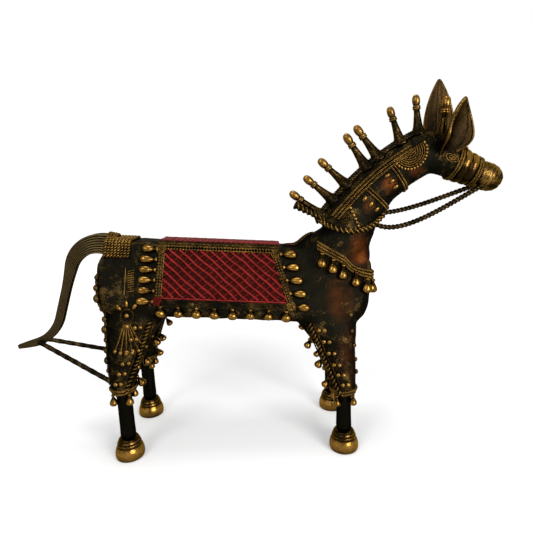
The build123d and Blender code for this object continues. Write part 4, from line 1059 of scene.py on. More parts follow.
rear_mid = line((REAR - END / 2, FRAME_LOW + 1), (REAR - END / 2, FRAME_HIGH - 0.5), 40)
front_mid = line((slant_x(FRAME_LOW) + END / 2, FRAME_LOW + 1),
                 (slant_x(FRAME_HIGH) + END / 2, FRAME_HIGH - 0.5), 40)
outer = upright(0.5 - END, END - 0.5, FRAME_LOW, FRAME_HIGH)
inner = upright(1.3 - END, END - 1.3, FRAME_LOW, FRAME_HIGH)
edge_lines = [outer[0], inner[0], outer[1], inner[1]]
top_mid = line((REAR, TOP + 1.35), (slant_x(TOP), TOP + 1.35), 60)
gold_lines = upright(-0.3, 0.3, BOTTOM, TOP)
gold_lines.append(line((REAR, TOP + 0.2), (slant_x(TOP), TOP + 0.2), 50))
gold_lines.append(line((REAR - END, FRAME_HIGH), (slant_x(TOP) + END, FRAME_HIGH), 50))
band_lines = [level(BOTTOM - drop, 1.0) for drop in (1.5, 2.5, 3.5, 4.4, LOW_BORDER - 0.2)]
hem_line = line((REAR, BOTTOM - 0.4), (slant_x(BOTTOM), BOTTOM - 0.4), 50)
for side, sign in SIDES:
    def laid(paths, height):
        """Lines of the frame on this side, at a height over it."""
        return [[(side_at(x, z, height, sign), side_normal(sign)) for x, z in path] for path in paths]

    braids(f"saddle_braid_{side}", laid([rear_mid, front_mid], 1.5) + laid([top_mid], 1.2), GRAIN, dull_mat,
           f"saddle_border_{side}", step=1.75, half=0.85, slant=36.0)
    cords(f"saddle_bed_{side}", laid([rear_mid, front_mid], 0.1), 1.9, bar_mat, pitch=60.0, depth=0.0)
    cords(f"saddle_edge_{side}", laid(edge_lines, 1.1), 0.42, dull_mat, pitch=2.0, depth=0.2)
    cords(f"saddle_gold_{side}", laid(gold_lines, 1.2), 0.4, bell_mat, **PLAIN)
    cords(f"saddle_bands_{side}", laid(band_lines, 0.9), 0.62, bar_mat, **PLAIN)
    cords(f"saddle_hem_{side}", laid([hem_line], 1.2), 0.5, lattice_mat, **PLAIN)
print("frame of the cloth laid")

# %% [markdown]
# A coil of thread covers each corner of the frame, and the one at the rear foot is lacquered red. A coil is
# a thread wound from its rim to its middle, so its path is a spiral whose turns lie one thread apart.
# Rings inside each other would be simpler, but wouldn't show that it is one thread.

# %% Rosettes
ROSETTE, ROSETTE_LIFT = 3.2, 2.5
FINE_COIL = {"pitch": 2.0, "depth": 0.1, "step": 0.35}


def coil(middle, facing, first, second, radius, thread):
    """A spiral of thread in a plane, from its rim to its middle."""
    turns = radius / (2 * thread)
    path = []
    for share in np.linspace(0, 1, int(turns * 22) + 1):
        turn = 2 * pi * turns * share
        reach = (radius - thread) * (1 - share) + 0.1
        path.append((middle + (first * cos(turn) + second * sin(turn)) * reach * MM, facing))
    return path


gold_coils, red_coils = [], []
low_z, high_z = BOTTOM - LOW_BORDER / 2, FRAME_HIGH - ROSETTE
corners = ((REAR - END / 2, low_z), (slant_x(BOTTOM) + END / 2, low_z), (slant_x(TOP) + END / 2, high_z),
           (REAR - END / 2, high_z))
for _, sign in SIDES:
    up_slope = (side_at(0, 1, 0, sign) - side_at(0, 0, 0, sign)).normalized()
    for x, z in corners:
        middle = side_at(x, z, ROSETTE_LIFT, sign)
        path = coil(middle, side_normal(sign), TRUNK_AHEAD, up_slope, ROSETTE, 0.58)
        (red_coils if x < 0 and z < BOTTOM else gold_coils).append(path)
cords("rosette_coils", gold_coils, 0.44, thread_mat, "saddle_rosettes", **FINE_COIL)
cords("rosette_red_coils", red_coils, 0.44, weft_mat, **FINE_COIL)
print("rosettes:", len(gold_coils) + len(red_coils))

# %% [markdown]
# The net goes on over the back, with dark cords and fine pale threads along both shoulders of the cloth,
# where the side meets the back. A bent copy of a side's net would be stretched there, so the back has its
# own panel, drawn as the sides are, in the trunk's frame.

# %% The cloth over the back
BACK_FROM, BACK_TO, BACK_HALF = REAR - END, REAR + TOP_LENGTH + END, 8.0
BACK_PANEL = [(BACK_FROM, -BACK_HALF), (BACK_TO, -BACK_HALF), (BACK_TO, BACK_HALF), (BACK_FROM, BACK_HALF)]


def on_back(x, y, height):
    """A point over the back and its normal."""
    return trunk_at(x, y, BACK_Z + height), -TRUNK_DOWN


def back_ground(u, v, lift):
    """The dark red ground over the back."""
    x, y = BACK_FROM + (BACK_TO - BACK_FROM) * u, BACK_HALF * (2 * v - 1)
    swell = 0.55 + 0.3 * noise.noise(Vector((x * 0.25, y * 0.25, 5)))
    return trunk_at(x, y, BACK_Z + (swell if lift > 0 else SUNK)), swell - 0.35


piece("saddle_top_ground", closed_sheet("saddle_top_ground", 16, 60, back_ground), cloth_mat)
top_net = [wavering(ends, on_back, 4.0, 0.8) for ends in net_lines(BACK_PANEL, False)]
top_net += [wavering(ends, on_back, 8.0, 1.2) for ends in net_lines(BACK_PANEL, True)]
cords("saddle_net_top", top_net, 0.6, lattice_mat, "saddle_top", **NET_THREAD)
shoulder_pale, shoulder_dark = [], []
for _, sign in SIDES:
    along = np.linspace(BACK_FROM, BACK_TO, 60)
    for kept, rise, y in ((shoulder_dark, SIDE_SLOPE - 1.3, 9.5), (shoulder_pale, SIDE_SLOPE - 0.3, 8.6)):
        kept.append([(side_at(x, rise, 0.5, sign), side_normal(sign)) for x in along])
        kept.append([on_back(x, sign * y, 0.5) for x in along])
cords("saddle_shoulder_pale", shoulder_pale, 0.42, thread_mat, pitch=2.2, depth=0.2)
cords("saddle_shoulder_dark", shoulder_dark, 0.95, bar_mat, pitch=2.6, depth=0.2)
print("back cloth:", len(top_net), "threads")

# %% [markdown]
# ## Mane and straps
#
# The mane is a ridge of thick threads with turned pegs on it, and twisted cords beside it. The pegs were
# set by hand, so each has its own lean from the neck's heading. The forelock is one more peg.

# %% Pegs and ridge
PEG = form_object("form_peg", [
    (0.0, -1.5, 0.0), (5.2, -1.5, 0.05), (4.5, 0.0, 0.1), (3.4, 1.6, 0.15), (2.7, 3.6, 0.22),
    (2.25, 6.5, 0.28), (1.85, 10.0, 0.33), (1.65, 12.6, 0.25), (2.15, 12.9, 0.6), (2.4, 13.3, 0.85),
    (2.15, 13.7, 0.5), (2.0, 13.9, 0.1), (2.3, 14.3, 0.8), (2.1, 14.8, 0.5), (1.65, 15.1, 0.1),
    (1.95, 15.7, 0.5), (2.2, 16.8, 0.8), (2.25, 17.9, 0.9), (2.1, 19.1, 0.95), (1.7, 20.2, 1.0),
    (0.95, 20.9, 1.0), (0.0, 21.1, 1.0)], 24)
PEG_SIZE, FORELOCK_SIZE = 1.08, 24 / 21
PEG_LEANS = ((0.02, 80), (0.17, 84), (0.33, 87), (0.54, 82), (0.66, 90), (0.87, 80), (1.03, 73))
peg_spots = []
for spot, upright_by in PEG_LEANS:
    x, z = crest(spot)
    lean = neck_path(spot)[2] + radians(upright_by)
    peg_spots.append((at(x, 0, z), Vector((cos(lean), 0, sin(lean))), PEG_SIZE))
drops("mane_pegs_turned", peg_spots, PEG, thread_mat, "mane_pegs")
forelock = (head_at(9.0, 9.5, 0), Vector((0.1, 0, 1)).normalized(), FORELOCK_SIZE)
drops("forelock_peg_turned", [forelock], PEG, bell_mat, "forelock_peg")
ridge = []
for y, rise in ((0.0, 1.3), (1.7, 0.4), (-1.7, 0.4)):
    ridge_line = [crest(spot, -rise) for spot in np.linspace(0.0, 1.04, 60)]
    ridge.append([(at(x, y, z), UP) for x, z in ridge_line])
cords("mane_ridge_threads", ridge, 1.35, bar_mat, "mane_ridge", pitch=5.0, depth=0.08)
mane_cords = [on_side([crest(spot, drop) for spot in np.linspace(0.05, 0.9, 60)], sign, 0.4)
              for _, sign in SIDES for drop in (4.7, 6.45, 8.2)]
cords("mane_side_cords", mane_cords, 0.85, thread_mat, "mane_cords", pitch=3.2, depth=0.2)
print("mane:", len(peg_spots), "pegs")

# %% [markdown]
# Two straps of paired cords fall from the mane round the throat, with three long studs behind each. A
# torus would miss the neck's oval, so rays towards the neck's middle line find the skin all the way round.

# %% Straps round the neck
STRAP_HALF, STUD_BACK = 0.014, 0.085


def neck_ring(spot, start, stop, count=60, lift=0.4):
    """A path round the neck at a spot. 0 degrees is the crest, and 180 the throat."""
    x, z, heading = neck_path(spot)
    return around(at(x, 0, z), Vector((-sin(heading), 0, cos(heading))), LEFT, start, stop, count, lift)


for name, spot in (("lower_neck_strap", 0.40), ("upper_neck_strap", 0.68)):
    pair = [neck_ring(spot + shift, 62, 298) for shift in (-STRAP_HALF, STRAP_HALF)]
    cords(f"{name}_cords", pair, 0.75, thread_mat, name, pitch=2.6, depth=0.2)
    heading = neck_path(spot)[2]
    long_studs = []
    for turn in (78, 102, 126, 282, 258, 234):
        for point, _ in neck_ring(spot - STUD_BACK, turn, turn, 1, 0.0):
            long_studs.append((point, Vector((cos(heading), 0, sin(heading))), 0.95))
    drops(f"{name}_grains", long_studs, PETAL, bell_mat)
print("straps laid")

# %% [markdown]
# Behind the ear lies a half-disc of coiled thread with a fringe of beads, and low on the neck a small coil
# beside a string of beads. They are arcs in the side view, laid on the skin, so they follow its curve.

# %% Medallions and the bead string
SMALL_COIL, STRING = (70.5, 142.5), ((74, 148), (78, 137.5))
DISC_RISE, FRINGE_RADIUS = 6.0, 10.2
disc_heading = neck_path(0.86)[2]
disc_middle = neck_point(0.86, DISC_RISE)
string_beads, small_coils, disc_threads, fringe = [], [], [], []
for _, sign in SIDES:
    string_beads += studs(on_side(line(*STRING, 6), sign, 0.1), 1.15)
    for radius in (1.0, 2.0, 3.0):
        small_coils.append(on_side(arc(SMALL_COIL, radius, 0, 2 * pi, 24), sign, 0.2))
    for radius in np.arange(1.2, 9.0, 1.25):
        disc_threads.append(on_side(arc(disc_middle, radius, disc_heading - pi, disc_heading, 40), sign, 0.5))
    fringe_arc = arc(disc_middle, FRINGE_RADIUS, disc_heading - pi + 0.05, disc_heading - 0.05, 17)
    fringe += studs(on_side(fringe_arc, sign, 0.2), 1.0)
drops("neck_bead_string", string_beads, BEAD, thread_mat)
cords("neck_small_coils", small_coils, 0.42, dull_mat, **FINE_COIL)
cords("neck_medallion_coils", disc_threads, 0.62, thread_mat, "neck_medallions", pitch=2.0, depth=0.18)
drops("neck_medallion_fringe", fringe, BEAD, thread_mat)
print("medallions:", len(disc_threads), "threads,", len(fringe), "beads")

# %% [markdown]
# ## Head
#
# A browband and a muzzle band of paired cords hold a ribbed plate over the nose, with beads above it. The
# plate and the muzzle are both tubes about the head's axis, so one helper takes a rule for their size at
# each station and turn. Sculpting would do, but a rule can be read and changed.

# %% Bands and nose plate
CHEEK, CHEEK_LENGTH = 14.0, 23.5
PLATE_FROM, PLATE_LENGTH, RIB = 24.2, 9.8, 1.15


def head_size(station):
    """Half depth and half width of the head forward of the cheek."""
    share = (station - CHEEK) / CHEEK_LENGTH
    return 10.5 - 2.7 * share, 9.5 - 2.5 * share


def band(station, lift):
    """A closed oval across the head's axis."""
    half_depth, half_width = head_size(station)
    middle = head_at(station, 0, 0)
    path = []
    for turn in np.linspace(0, 2 * pi, 72):
        point = head_at(station, (half_depth + lift) * cos(turn), (half_width + lift) * sin(turn))
        path.append((point, (point - middle).normalized()))
    return path


def head_tube(name, rings, count, shape):
    """A closed tube about the head's axis. shape(share, turn) gives station, half sizes and rubbed share."""
    verts, values = [], []
    for i in range(rings + 1):
        for k in range(count):
            turn = 2 * pi * k / count
            station, half_depth, half_width, value = shape(i / rings, turn)
            verts.append(head_at(station, half_depth * cos(turn), half_width * sin(turn)))
            values.append(value)
    faces = ring_faces([range(i * count, (i + 1) * count) for i in range(rings + 1)])
    return outward(mesh_of(name, verts, faces, raised=values))


def nose_plate(share, turn):
    """Two ribs, bright above and dark under the jaw."""
    station = PLATE_FROM + PLATE_LENGTH * share
    half_depth, half_width = head_size(station)
    rib = abs(sin(2 * pi * share)) ** 0.6
    swell = 0.25 + RIB * rib
    value = (0.35 + 0.6 * rib) * min(1, max(0.02, 0.62 + 1.1 * cos(turn)))
    return station, half_depth + swell, half_width + swell, value


for name, station, thread in (("browband", 22.0, 0.75), ("muzzle_band", 35.6, 0.8)):
    cords(f"{name}_cords", [band(station + shift, 0.5) for shift in (-0.8, 0.8)], thread, thread_mat, name,
          pitch=2.4, depth=0.16)
piece("noseband_plate", head_tube("noseband_plate", 22, 64, nose_plate), bell_mat, "noseband")
head_up = (head_at(20, 1, 0) - head_at(20, 0, 0)).normalized()
crown = [(head_at(20.0 + 2.2 * k, 10.6 - 0.3 * k, y), head_up, 1.3)
         for k in range(3) for y in (-2.4, 0.0, 2.4)]
drops("browband_beads", crown, BEAD, bell_mat)
print("bridle:", len(crown), "beads on the brow")

# %% [markdown]
# The muzzle swells and rounds off, with two nostrils pressed in and a groove between the lips. The dents
# also say where the patina stays dark.

# %% Muzzle
MUZZLE_SHARES = (0, 0.2, 0.42, 0.62, 0.8, 0.92, 1.0)
MUZZLE_DEPTHS = (7.8, 8.3, 8.5, 7.9, 6.5, 4.6, 1.2)
MUZZLE_WIDTHS = (7.0, 7.5, 7.8, 7.2, 5.8, 4.2, 1.0)
NOSTRIL_SHARE, NOSTRIL_TURN, LIP_TURN, LIP_START = 0.78, radians(66), radians(52), 0.42


def muzzle(share, turn):
    """The muzzle's size at a place, with its dents."""
    from_top = turn if turn < pi else 2 * pi - turn
    nostril = hypot((share - NOSTRIL_SHARE) / 0.11, (from_top - NOSTRIL_TURN) / 0.34)
    dent = 0.35 * noise.noise(Vector((share * 22, cos(turn) * 4, sin(turn) * 4)))
    dent -= 2.2 * max(0.0, 1 - nostril)
    if share > LIP_START:
        groove = 1 - abs(abs(turn - pi) - LIP_TURN) / 0.16
        dent -= 0.9 * max(0.0, groove) * min(1, (share - LIP_START) / 0.15)
    station = HEAD_LENGTH + MUZZLE_LENGTH * share**0.92
    half_depth = np.interp(share, MUZZLE_SHARES, MUZZLE_DEPTHS) + dent
    half_width = np.interp(share, MUZZLE_SHARES, MUZZLE_WIDTHS) + dent
    return station, half_depth, half_width, 0.48 + 0.22 * cos(turn) + 1.5 * dent


piece("muzzle_cast", head_tube("muzzle_cast", 34, 44, muzzle), thread_mat, "muzzle")
print("muzzle:", len(pieces["muzzle_cast"].data.polygons), "faces")

# %% [markdown]
# Each eye is two ovals of thread, one in the other, round a small dark bead. They are drawn across the
# cheek in the head's frame, and rays from the side lay them on it. Flat rings would stand off the round
# cheek.

# %% Eyes
EYE_STATION, EYE_RISE, EYE_LONG, EYE_HIGH = 16.0, 0.4, 4.1, 1.9
eye_threads, pupils = [], []
for _, sign in SIDES:
    def on_cheek(spots, lift):
        """Points of the head's frame, laid on this cheek."""
        return hits([(Vector((spot.x, sign * 0.05, spot.z)), LEFT * -sign) for spot in spots], lift)

    for grow in (1.0, 0.5):
        oval = [head_at(EYE_STATION + EYE_LONG * grow * cos(turn), EYE_RISE + EYE_HIGH * grow * sin(turn), 0)
                for turn in np.linspace(0, 2 * pi, 40)]
        eye_threads.append(on_cheek(oval, 0.3))
    pupils += studs(on_cheek([head_at(EYE_STATION, EYE_RISE, 0)], 0.2), 0.7)
cords("eye_ring_threads", eye_threads, 0.55, thread_mat, "eye_rings", pitch=2.0, depth=0.1)
drops("eye_pupils", pupils, BEAD, dull_mat)
print("eyes:", len(pupils))

# %% [markdown]
# The ears are leaves of rolled wax sheet, curled round their length, with a thread along the rim, one
# inside each edge, and a rib up the back. A plane with a Simple Deform would curl too, but a rule for the
# leaf gives its outline, curl and thickness together.

# %% Ears
EAR_STATION, EAR_Y, EAR_TURN, CURL = 12.0, 5.5, radians(26.0), 10.5
EAR_PLAIN = {"pitch": 60.0, "depth": 0.02}


def ear(side, sign, length, lean, root_rise, widest):
    """A curled leaf, thicker along its back, with its threads."""
    name = f"ear_{side}_leaf"
    root = head_at(EAR_STATION, root_rise, sign * EAR_Y)
    growth = Vector((lean[0], sign * lean[1], length)).normalized()
    outwards = Vector((sin(EAR_TURN), sign * cos(EAR_TURN), 0))
    facing = (outwards - growth * outwards.dot(growth)).normalized()
    aside = growth.cross(facing)

    def surface(across, v, lift):
        """A point of the leaf: across it, along it, and on its face, its middle or its back."""
        half = widest * (sin(pi * min(1, v**0.78)) ** 0.85 if 0 < v < 1 else 0.0) + 0.05
        if v < 0.35:
            half = max(half, 4.2 * (1 - v / 0.35) + half * (v / 0.35))
        x = across * half
        rolled = CURL - sqrt(max(CURL**2 - x * x, 0.0))
        thick = 0.95 * (1 - abs(across) ** 4 * 0.6)
        rib = 0.5 * max(0.0, 1 - abs(across) / 0.16) if lift < 0 else 0.0
        return root + (growth * length * v + aside * x + facing * (rolled + 0.9 + lift * (thick + rib))) * MM

    def leaf(u, v, lift):
        """A point of the closed leaf, brighter at its edge and its tip."""
        across = 2 * u - 1
        edge = max(0.0, abs(across) - 0.75) / 0.25
        return surface(across, v, lift), 0.06 + 0.5 * edge + 0.3 * min(v * 1.3, 1)

    piece(name, closed_sheet(name, 46, 18, leaf), ear_mat, f"ear_{side}")
    up_edge, down_edge = np.linspace(0.03, 0.995, 50), np.linspace(0.995, 0.03, 50)
    rim = [(surface(-1, v, 0), facing) for v in up_edge] + [(surface(1, v, 0), facing) for v in down_edge]
    cords(f"{name}_rim", [rim], 0.8, thread_mat, **EAR_PLAIN)
    inner = [[(surface(across, v, 1), facing) for v in np.linspace(0.12, 0.9, 40)]
             for across in (-0.74, 0.74)]
    cords(f"{name}_inner", inner, 0.4, dull_mat, **EAR_PLAIN)


ear("left", 1, 45.0, (2.0, 6.0), 2.5, 8.3)
ear("right", -1, 34.0, (7.0, 12.0), -0.6, 9.6)
print("ears made")

# %% [markdown]
# ## Reins and collar
#
# The reins are cast brass, twisted from two threads. They leave the mouth, hang lowest near the neck, and
# run into a rope that loops round it and ends in a thick tail behind. Each is a curve with two drops of its
# own. A hanging chain's curve would sag in the middle, and these don't.

# %% Reins
REIN_STATION, REIN_RISE, REIN_Y, REIN_OUT = 43.5, -5.0, 4.0, 3.0
LOOP_MIDDLE, LOOP_RADIUS = (75.0, 160.5), 26.0
TAIL_LENGTH, TAIL_HEADING, TAIL_Y = 20.5, radians(151.0), -5.6


def hung(start, stop, out, near_drop, far_drop):
    """A smooth run below its straight line, by one drop near its start and one near its end."""
    first = start + (stop - start) * 0.35 + Vector((0, out, -near_drop)) * MM
    second = start + (stop - start) * 0.8 + Vector((0, out, -far_drop)) * MM
    path = []
    for share in np.linspace(0, 1, 60):
        rest = 1 - share
        point = start * rest**3 + first * 3 * rest**2 * share + second * 3 * rest * share**2 + stop * share**3
        path.append((point, UP))
    return path


for (side, sign), spot, sags in zip(SIDES, (0.3, 0.2), ((3.0, 8.0), (4.5, 17.0))):
    depth, width = neck_size(spot)
    x, z = neck_point(spot, -depth / 3)
    mouth, neck_end = head_at(REIN_STATION, REIN_RISE, sign * REIN_Y), at(x, sign * width / 4, z)
    cords(f"rein_{side}_twist", [hung(mouth, neck_end, sign * REIN_OUT, *sags)], 1.5, bar_mat, f"rein_{side}",
          lobes=2, depth=0.14, pitch=5.0)
loop_arc = arc(LOOP_MIDDLE, LOOP_RADIUS, radians(-141), radians(-40), 50)
cords("rein_loop_twist", [on_side(loop_arc, sign, 0.9) for _, sign in SIDES], 1.5, thread_mat, "rein_loop",
      slot="dark_brass", lobes=2, depth=0.3, pitch=6.0)
x, z = crest(0, 3.0)
rope_tail = [(at(x + cos(TAIL_HEADING) * run, TAIL_Y, z + sin(TAIL_HEADING) * run), -LEFT)
             for run in np.linspace(0, TAIL_LENGTH, 20)]
cords("rein_tail_twist", [rope_tail], 2.1, dull_mat, "rein_tail", lobes=2, depth=0.2, pitch=6.0,
      radii=[np.linspace(0.6, 1.1, 20)])
print("reins laid")

# %% [markdown]
# A cord that thins at both ends lies over the withers, and a collar of three cords slopes round the breast
# from one shoulder to the other. The collar's plane cuts the body, so rays come in along that plane.

# %% Withers cord and breast collar
COLLAR_FROM, COLLAR_CORNER_X, COLLAR_CORNER_Y, COLLAR_RADIUS = 49.0, 64.5, 6.0, 19.0
COLLAR_FALL, COLLAR_DROP, COLLAR_X = tan(radians(26.5)), 4.8, 63.5


def collar_path(shift):
    """Round the breast from one shoulder to the other, on the collar's sloping plane."""
    outline = [(x, SIDE_Y, 0.0, 1.0) for x in np.linspace(COLLAR_FROM, COLLAR_CORNER_X, 12)]
    for turn in np.linspace(pi / 2, 0, 16):
        x, y = COLLAR_CORNER_X + COLLAR_RADIUS * cos(turn), COLLAR_CORNER_Y + COLLAR_RADIUS * sin(turn)
        outline.append((x, y, cos(turn), sin(turn)))
    outline += [(x, -y, out_x, -out_y) for x, y, out_x, out_y in reversed(outline)]
    rays = []
    for x, y, out_x, out_y in outline:
        z = BACK_Z - COLLAR_DROP - (x - COLLAR_X) * COLLAR_FALL + shift
        inwards = trunk_at(-out_x, -out_y, 0) - trunk_at(0, 0, 0)
        rays.append((trunk_at(x + out_x * 30, y + out_y * 30, z), inwards))
    return hits(rays, 0.7)


withers = hits([(at(x, 0, 170), -UP) for x in np.linspace(33, 53, 24)], 0.5)
thinning = [0.2 + 0.8 * sin(pi * k / (len(withers) - 1)) ** 0.5 for k in range(len(withers))]
cords("withers_cord", [withers], 1.2, dull_mat, pitch=3.4, depth=0.22, radii=[thinning])
cords("breast_collar_threads", [collar_path(shift) for shift in (-1.9, 0.0, 1.9)], 1.0, thread_mat,
      "breast_collar", pitch=3.0, depth=0.18)
print("collar laid")

# %% [markdown]
# ## Legs and thighs
#
# A rope runs up the inner edge of each upper leg, and two cords close its hem. The ropes are straight in
# the side view and laid on the skin. The hems are closed rings, found by rays towards the leg's middle.

# %% Leg ropes and hems
ROPE_IN, ROPE_OUT, ROPE_LOW, ROPE_HIGH = 3.0, 20.0, 1.0, 44.0
HEM_REACH = 14.0


def rope_line(x, hem, inward, aside=0.0):
    """The line of a leg's rope, from the hem to the belly."""
    low = (x + inward * ROPE_IN + aside, hem + ROPE_LOW)
    high = (x + inward * ROPE_OUT + aside, hem + ROPE_HIGH)
    return line(low, high, 50)


leg_ropes, hem_cords = [], []
for _, x, hem in LEGS:
    inward = -1 if x > 0 else 1
    for _, sign in SIDES:
        leg_ropes.append(on_side(rope_line(x, hem, inward), sign, 0.4))
        for rise in (0.8, 2.6):
            middle = at(x, sign * HOOF_Y, hem + rise)
            hem_cords.append(around(middle, AHEAD, LEFT, 0, 360, 48, 0.3, HEM_REACH))
cords("leg_braid_ropes", leg_ropes, 1.25, dull_mat, "leg_braids", lobes=2, depth=0.34, pitch=5.0, step=0.4)
cords("leg_hem_cords", hem_cords, 0.9, thread_mat, pitch=2.6, depth=0.18)
print("leg ropes:", len(leg_ropes))

# %% [markdown]
# On each thigh is a flower: a dark ring round a bead, three petals above it, and a spray of threads below
# that end in beads. Everything is a ray or an arc from one middle, so it is drawn by angle.

# %% Thigh flowers
FLOWER = (7.0 - HOOF_X, 91.0)
FLOWER_RING, PETAL_RADIUS, SPRAY_FROM, SPRAY_TO = 3.9, 6.7, 4.6, 21.0
FLOWER_THREAD = {"pitch": 2.4, "depth": 0.16}


def from_flower(reach, turn):
    """A point of the side view, a way out from the flower's middle."""
    return FLOWER[0] + reach * cos(turn), FLOWER[1] + reach * sin(turn)


for side, sign in SIDES:
    ring = on_side(arc(FLOWER, FLOWER_RING, 0, 2 * pi, 36), sign, 0.4)
    cords(f"thigh_flower_{side}_ring", [ring], 0.6, dull_mat, **FLOWER_THREAD)
    spray, beads, petals = [], [], []
    for turn in np.radians(np.linspace(-111, -69, 6)):
        spray.append(on_side(line(from_flower(SPRAY_FROM, turn), from_flower(SPRAY_TO, turn), 24), sign, 0.4))
        beads += studs(on_side([from_flower(SPRAY_TO + 1, turn)], sign, 0.2), 1.35)
    for turn in np.radians((48, 90, 132)):
        for point, _ in on_side([from_flower(PETAL_RADIUS, turn)], sign, 0.3):
            petals.append((point, Vector((cos(turn), 0, sin(turn))), 0.95))
    drops(f"thigh_flower_{side}_petals", petals, PETAL, bell_mat)
    beads += studs(on_side([(FLOWER[0], FLOWER[1] - 6.0)], sign, 0.1), 1.7)
    beads += studs(on_side([FLOWER], sign, 0.2), 1.6)
    cords(f"thigh_flower_{side}_threads", spray, 0.6, thread_mat, f"thigh_flower_{side}", slot="dark_brass",
          **FLOWER_THREAD)
    drops(f"thigh_flower_{side}_beads", beads, BEAD, thread_mat)
print("flowers:", len(beads), "beads each")

# %% [markdown]
# Between the larger pieces the maker fills the skin with small beads: pairs beside each leg's rope, bosses
# down the back of the thigh on a twisted cord, and single ones down the front of the foreleg. Two fine
# threads guard each rope, and on the rump stands a rib with a comb of short threads. Scattering them at
# random would be quicker, but they stand in rows, so each row is laid by rays.

# %% Beads on the legs, and the rump's comb
REAR_TOP, REAR_LOW = 122.0, 48.0
RIB_LINE, COMB_X = ((-61.5, 103), (-61, 118)), (-59.6, -55.8)
bead_pairs, guards, bosses, edge_cords, comb = [], [], [], [], []
for _, x, hem in LEGS:
    inward = -1 if x > 0 else 1
    for _, sign in SIDES:
        for rise in (7, 13, 19, 26, 33, 40):
            climb = (rise - ROPE_LOW) / (ROPE_HIGH - ROPE_LOW)
            rope_x = x + inward * (ROPE_IN + (ROPE_OUT - ROPE_IN) * climb)
            for aside in (3.9, 7.0):
                bead_pairs += studs(on_side([(rope_x - inward * aside, hem + rise)], sign, 0.1), 1.5)
        for aside in (-2.3, 2.3):
            guards.append(on_side(rope_line(x, hem, inward, aside), sign, 0.3))
for _, sign in SIDES:
    rays = []
    for z in np.linspace(REAR_TOP, REAR_LOW, 60):
        y = 17 + 8 * (REAR_TOP - z) / (REAR_TOP - REAR_LOW)
        rays.append((at(-140, sign * y, z), AHEAD))
    rear = hits(rays, 0.4)
    edge_cords.append(rear)
    bosses += [(point, normal, 1.7 + 0.5 * (k % 3)) for k, (point, normal) in enumerate(rear[2::5])]
    bosses += studs(hits([(at(140, sign * 24, z), -AHEAD) for z in (96, 86, 76, 67, 58, 50)], 0.1), 1.6)
    comb.append(on_side(line(*RIB_LINE, 16), sign, 0.3))
    for z in np.linspace(104.5, 116, 10):
        comb.append(on_side(line((COMB_X[0], z), (COMB_X[1], z + 0.4), 6), sign, 0.15))
drops("leg_bead_pairs", bead_pairs, BEAD, thread_mat)
drops("leg_edge_bosses", bosses, BEAD, bar_mat)
cords("leg_edge_cords", edge_cords, 0.9, dull_mat, pitch=3.2, depth=0.2)
cords("leg_braid_guards", guards, 0.45, dull_mat, pitch=2.0, depth=0.15)
cords("rump_comb", comb, 0.4, thread_mat, pitch=20.0, depth=0.02, step=0.4)
print("beads:", len(bead_pairs) + len(bosses))

# %% [markdown]
# ## Tail
#
# The tail is a sheaf of sixteen strands in two layers round a dark heart. It leaves the rump, arches,
# hangs and flicks up to a blunt tip. A hair system would do for a soft tail, but this one is cast, so
# each strand is a plain thread that keeps its place in the sheaf.

# %% Strands of the tail
ARCH, FLICK = 20.0, 26.0
TAIL_RUNS = ((7.0, 0.0), (ARCH * radians(87), 1 / ARCH), (35.5, 0.0), (FLICK * radians(59), -1 / FLICK),
             (11.0, 0.0))
TAIL_FROM = radians(164)
STRANDS, SPREAD = 8, 8.6


def tail_stations(count):
    """Places along the tail, with the heading and the share of its length."""
    total = sum(length for length, _ in TAIL_RUNS)
    root = trunk_at(9 - TRUNK_HALF, 0, BACK_Z - 5)
    x, z, heading = root.x / MM, root.z / MM, TAIL_FROM
    stations, travelled = [], 0.0
    step = total / (count - 1)
    for length, bend in TAIL_RUNS:
        done = 0.0
        while done < length - 1e-9:
            if travelled >= len(stations) * step - 1e-9:
                stations.append((x, z, heading, travelled / total))
            small = min(0.25, length - done)
            heading += bend * small
            x += cos(heading) * small
            z += sin(heading) * small
            done += small
            travelled += small
    stations.append((x, z, heading, 1.0))
    return stations


def tail_size(share):
    """Depth and width of the sheaf: gathered where it hangs, and blunt at its tip."""
    gathered, pointed = min(share / 0.5, 1), (max(share - 0.8, 0) / 0.2) ** 2
    gathered = gathered**2 * (3 - 2 * gathered)
    depth, width = 14.5 - 8.9 * gathered, 11.0 - 3.4 * gathered
    return depth + (3.0 - depth) * pointed, width + (3.0 - width) * pointed


def tail_at(station, up, out):
    """A point of the tail, across its heading, with a normal."""
    x, z, heading, _ = station
    return Vector((x - sin(heading) * up, out, z + cos(heading) * up)) * MM, UP


stations = tail_stations(90)
sizes = [tail_size(station[3]) for station in stations]
sheaf, radii = [], []
for layer in (-1, 1):
    for k in range(STRANDS):
        off = k - (STRANDS - 1) / 2
        sheaf.append([tail_at(station, depth * off / SPREAD, layer * width * (0.27 - 0.012 * abs(off)))
                      for station, (depth, width) in zip(stations, sizes)])
        radii.append([0.066 * depth + 0.008 * width for depth, width in sizes])
cords("tail_strands", sheaf, 1.0, tail_mat, "tail", lobes=2, depth=0.2, pitch=4000.0, radii=radii)
cords("tail_heart", [[tail_at(station, 0, 0) for station in stations]], 1.0, bar_mat, lobes=2, depth=0.0,
      pitch=40.0, radii=[[0.3 * width for _, width in sizes]])
print("tail:", len(sheaf), "strands")

# %% [markdown]
# Threads wrap the tail's root, and more of them lie over the rump, where the sheaf is bound on. Two bars run
# from near the tip to the hind legs and hold the thin tail in the casting. All are plain paths for the cord
# tree: rings round the tail, bows over the back, and straight lines.

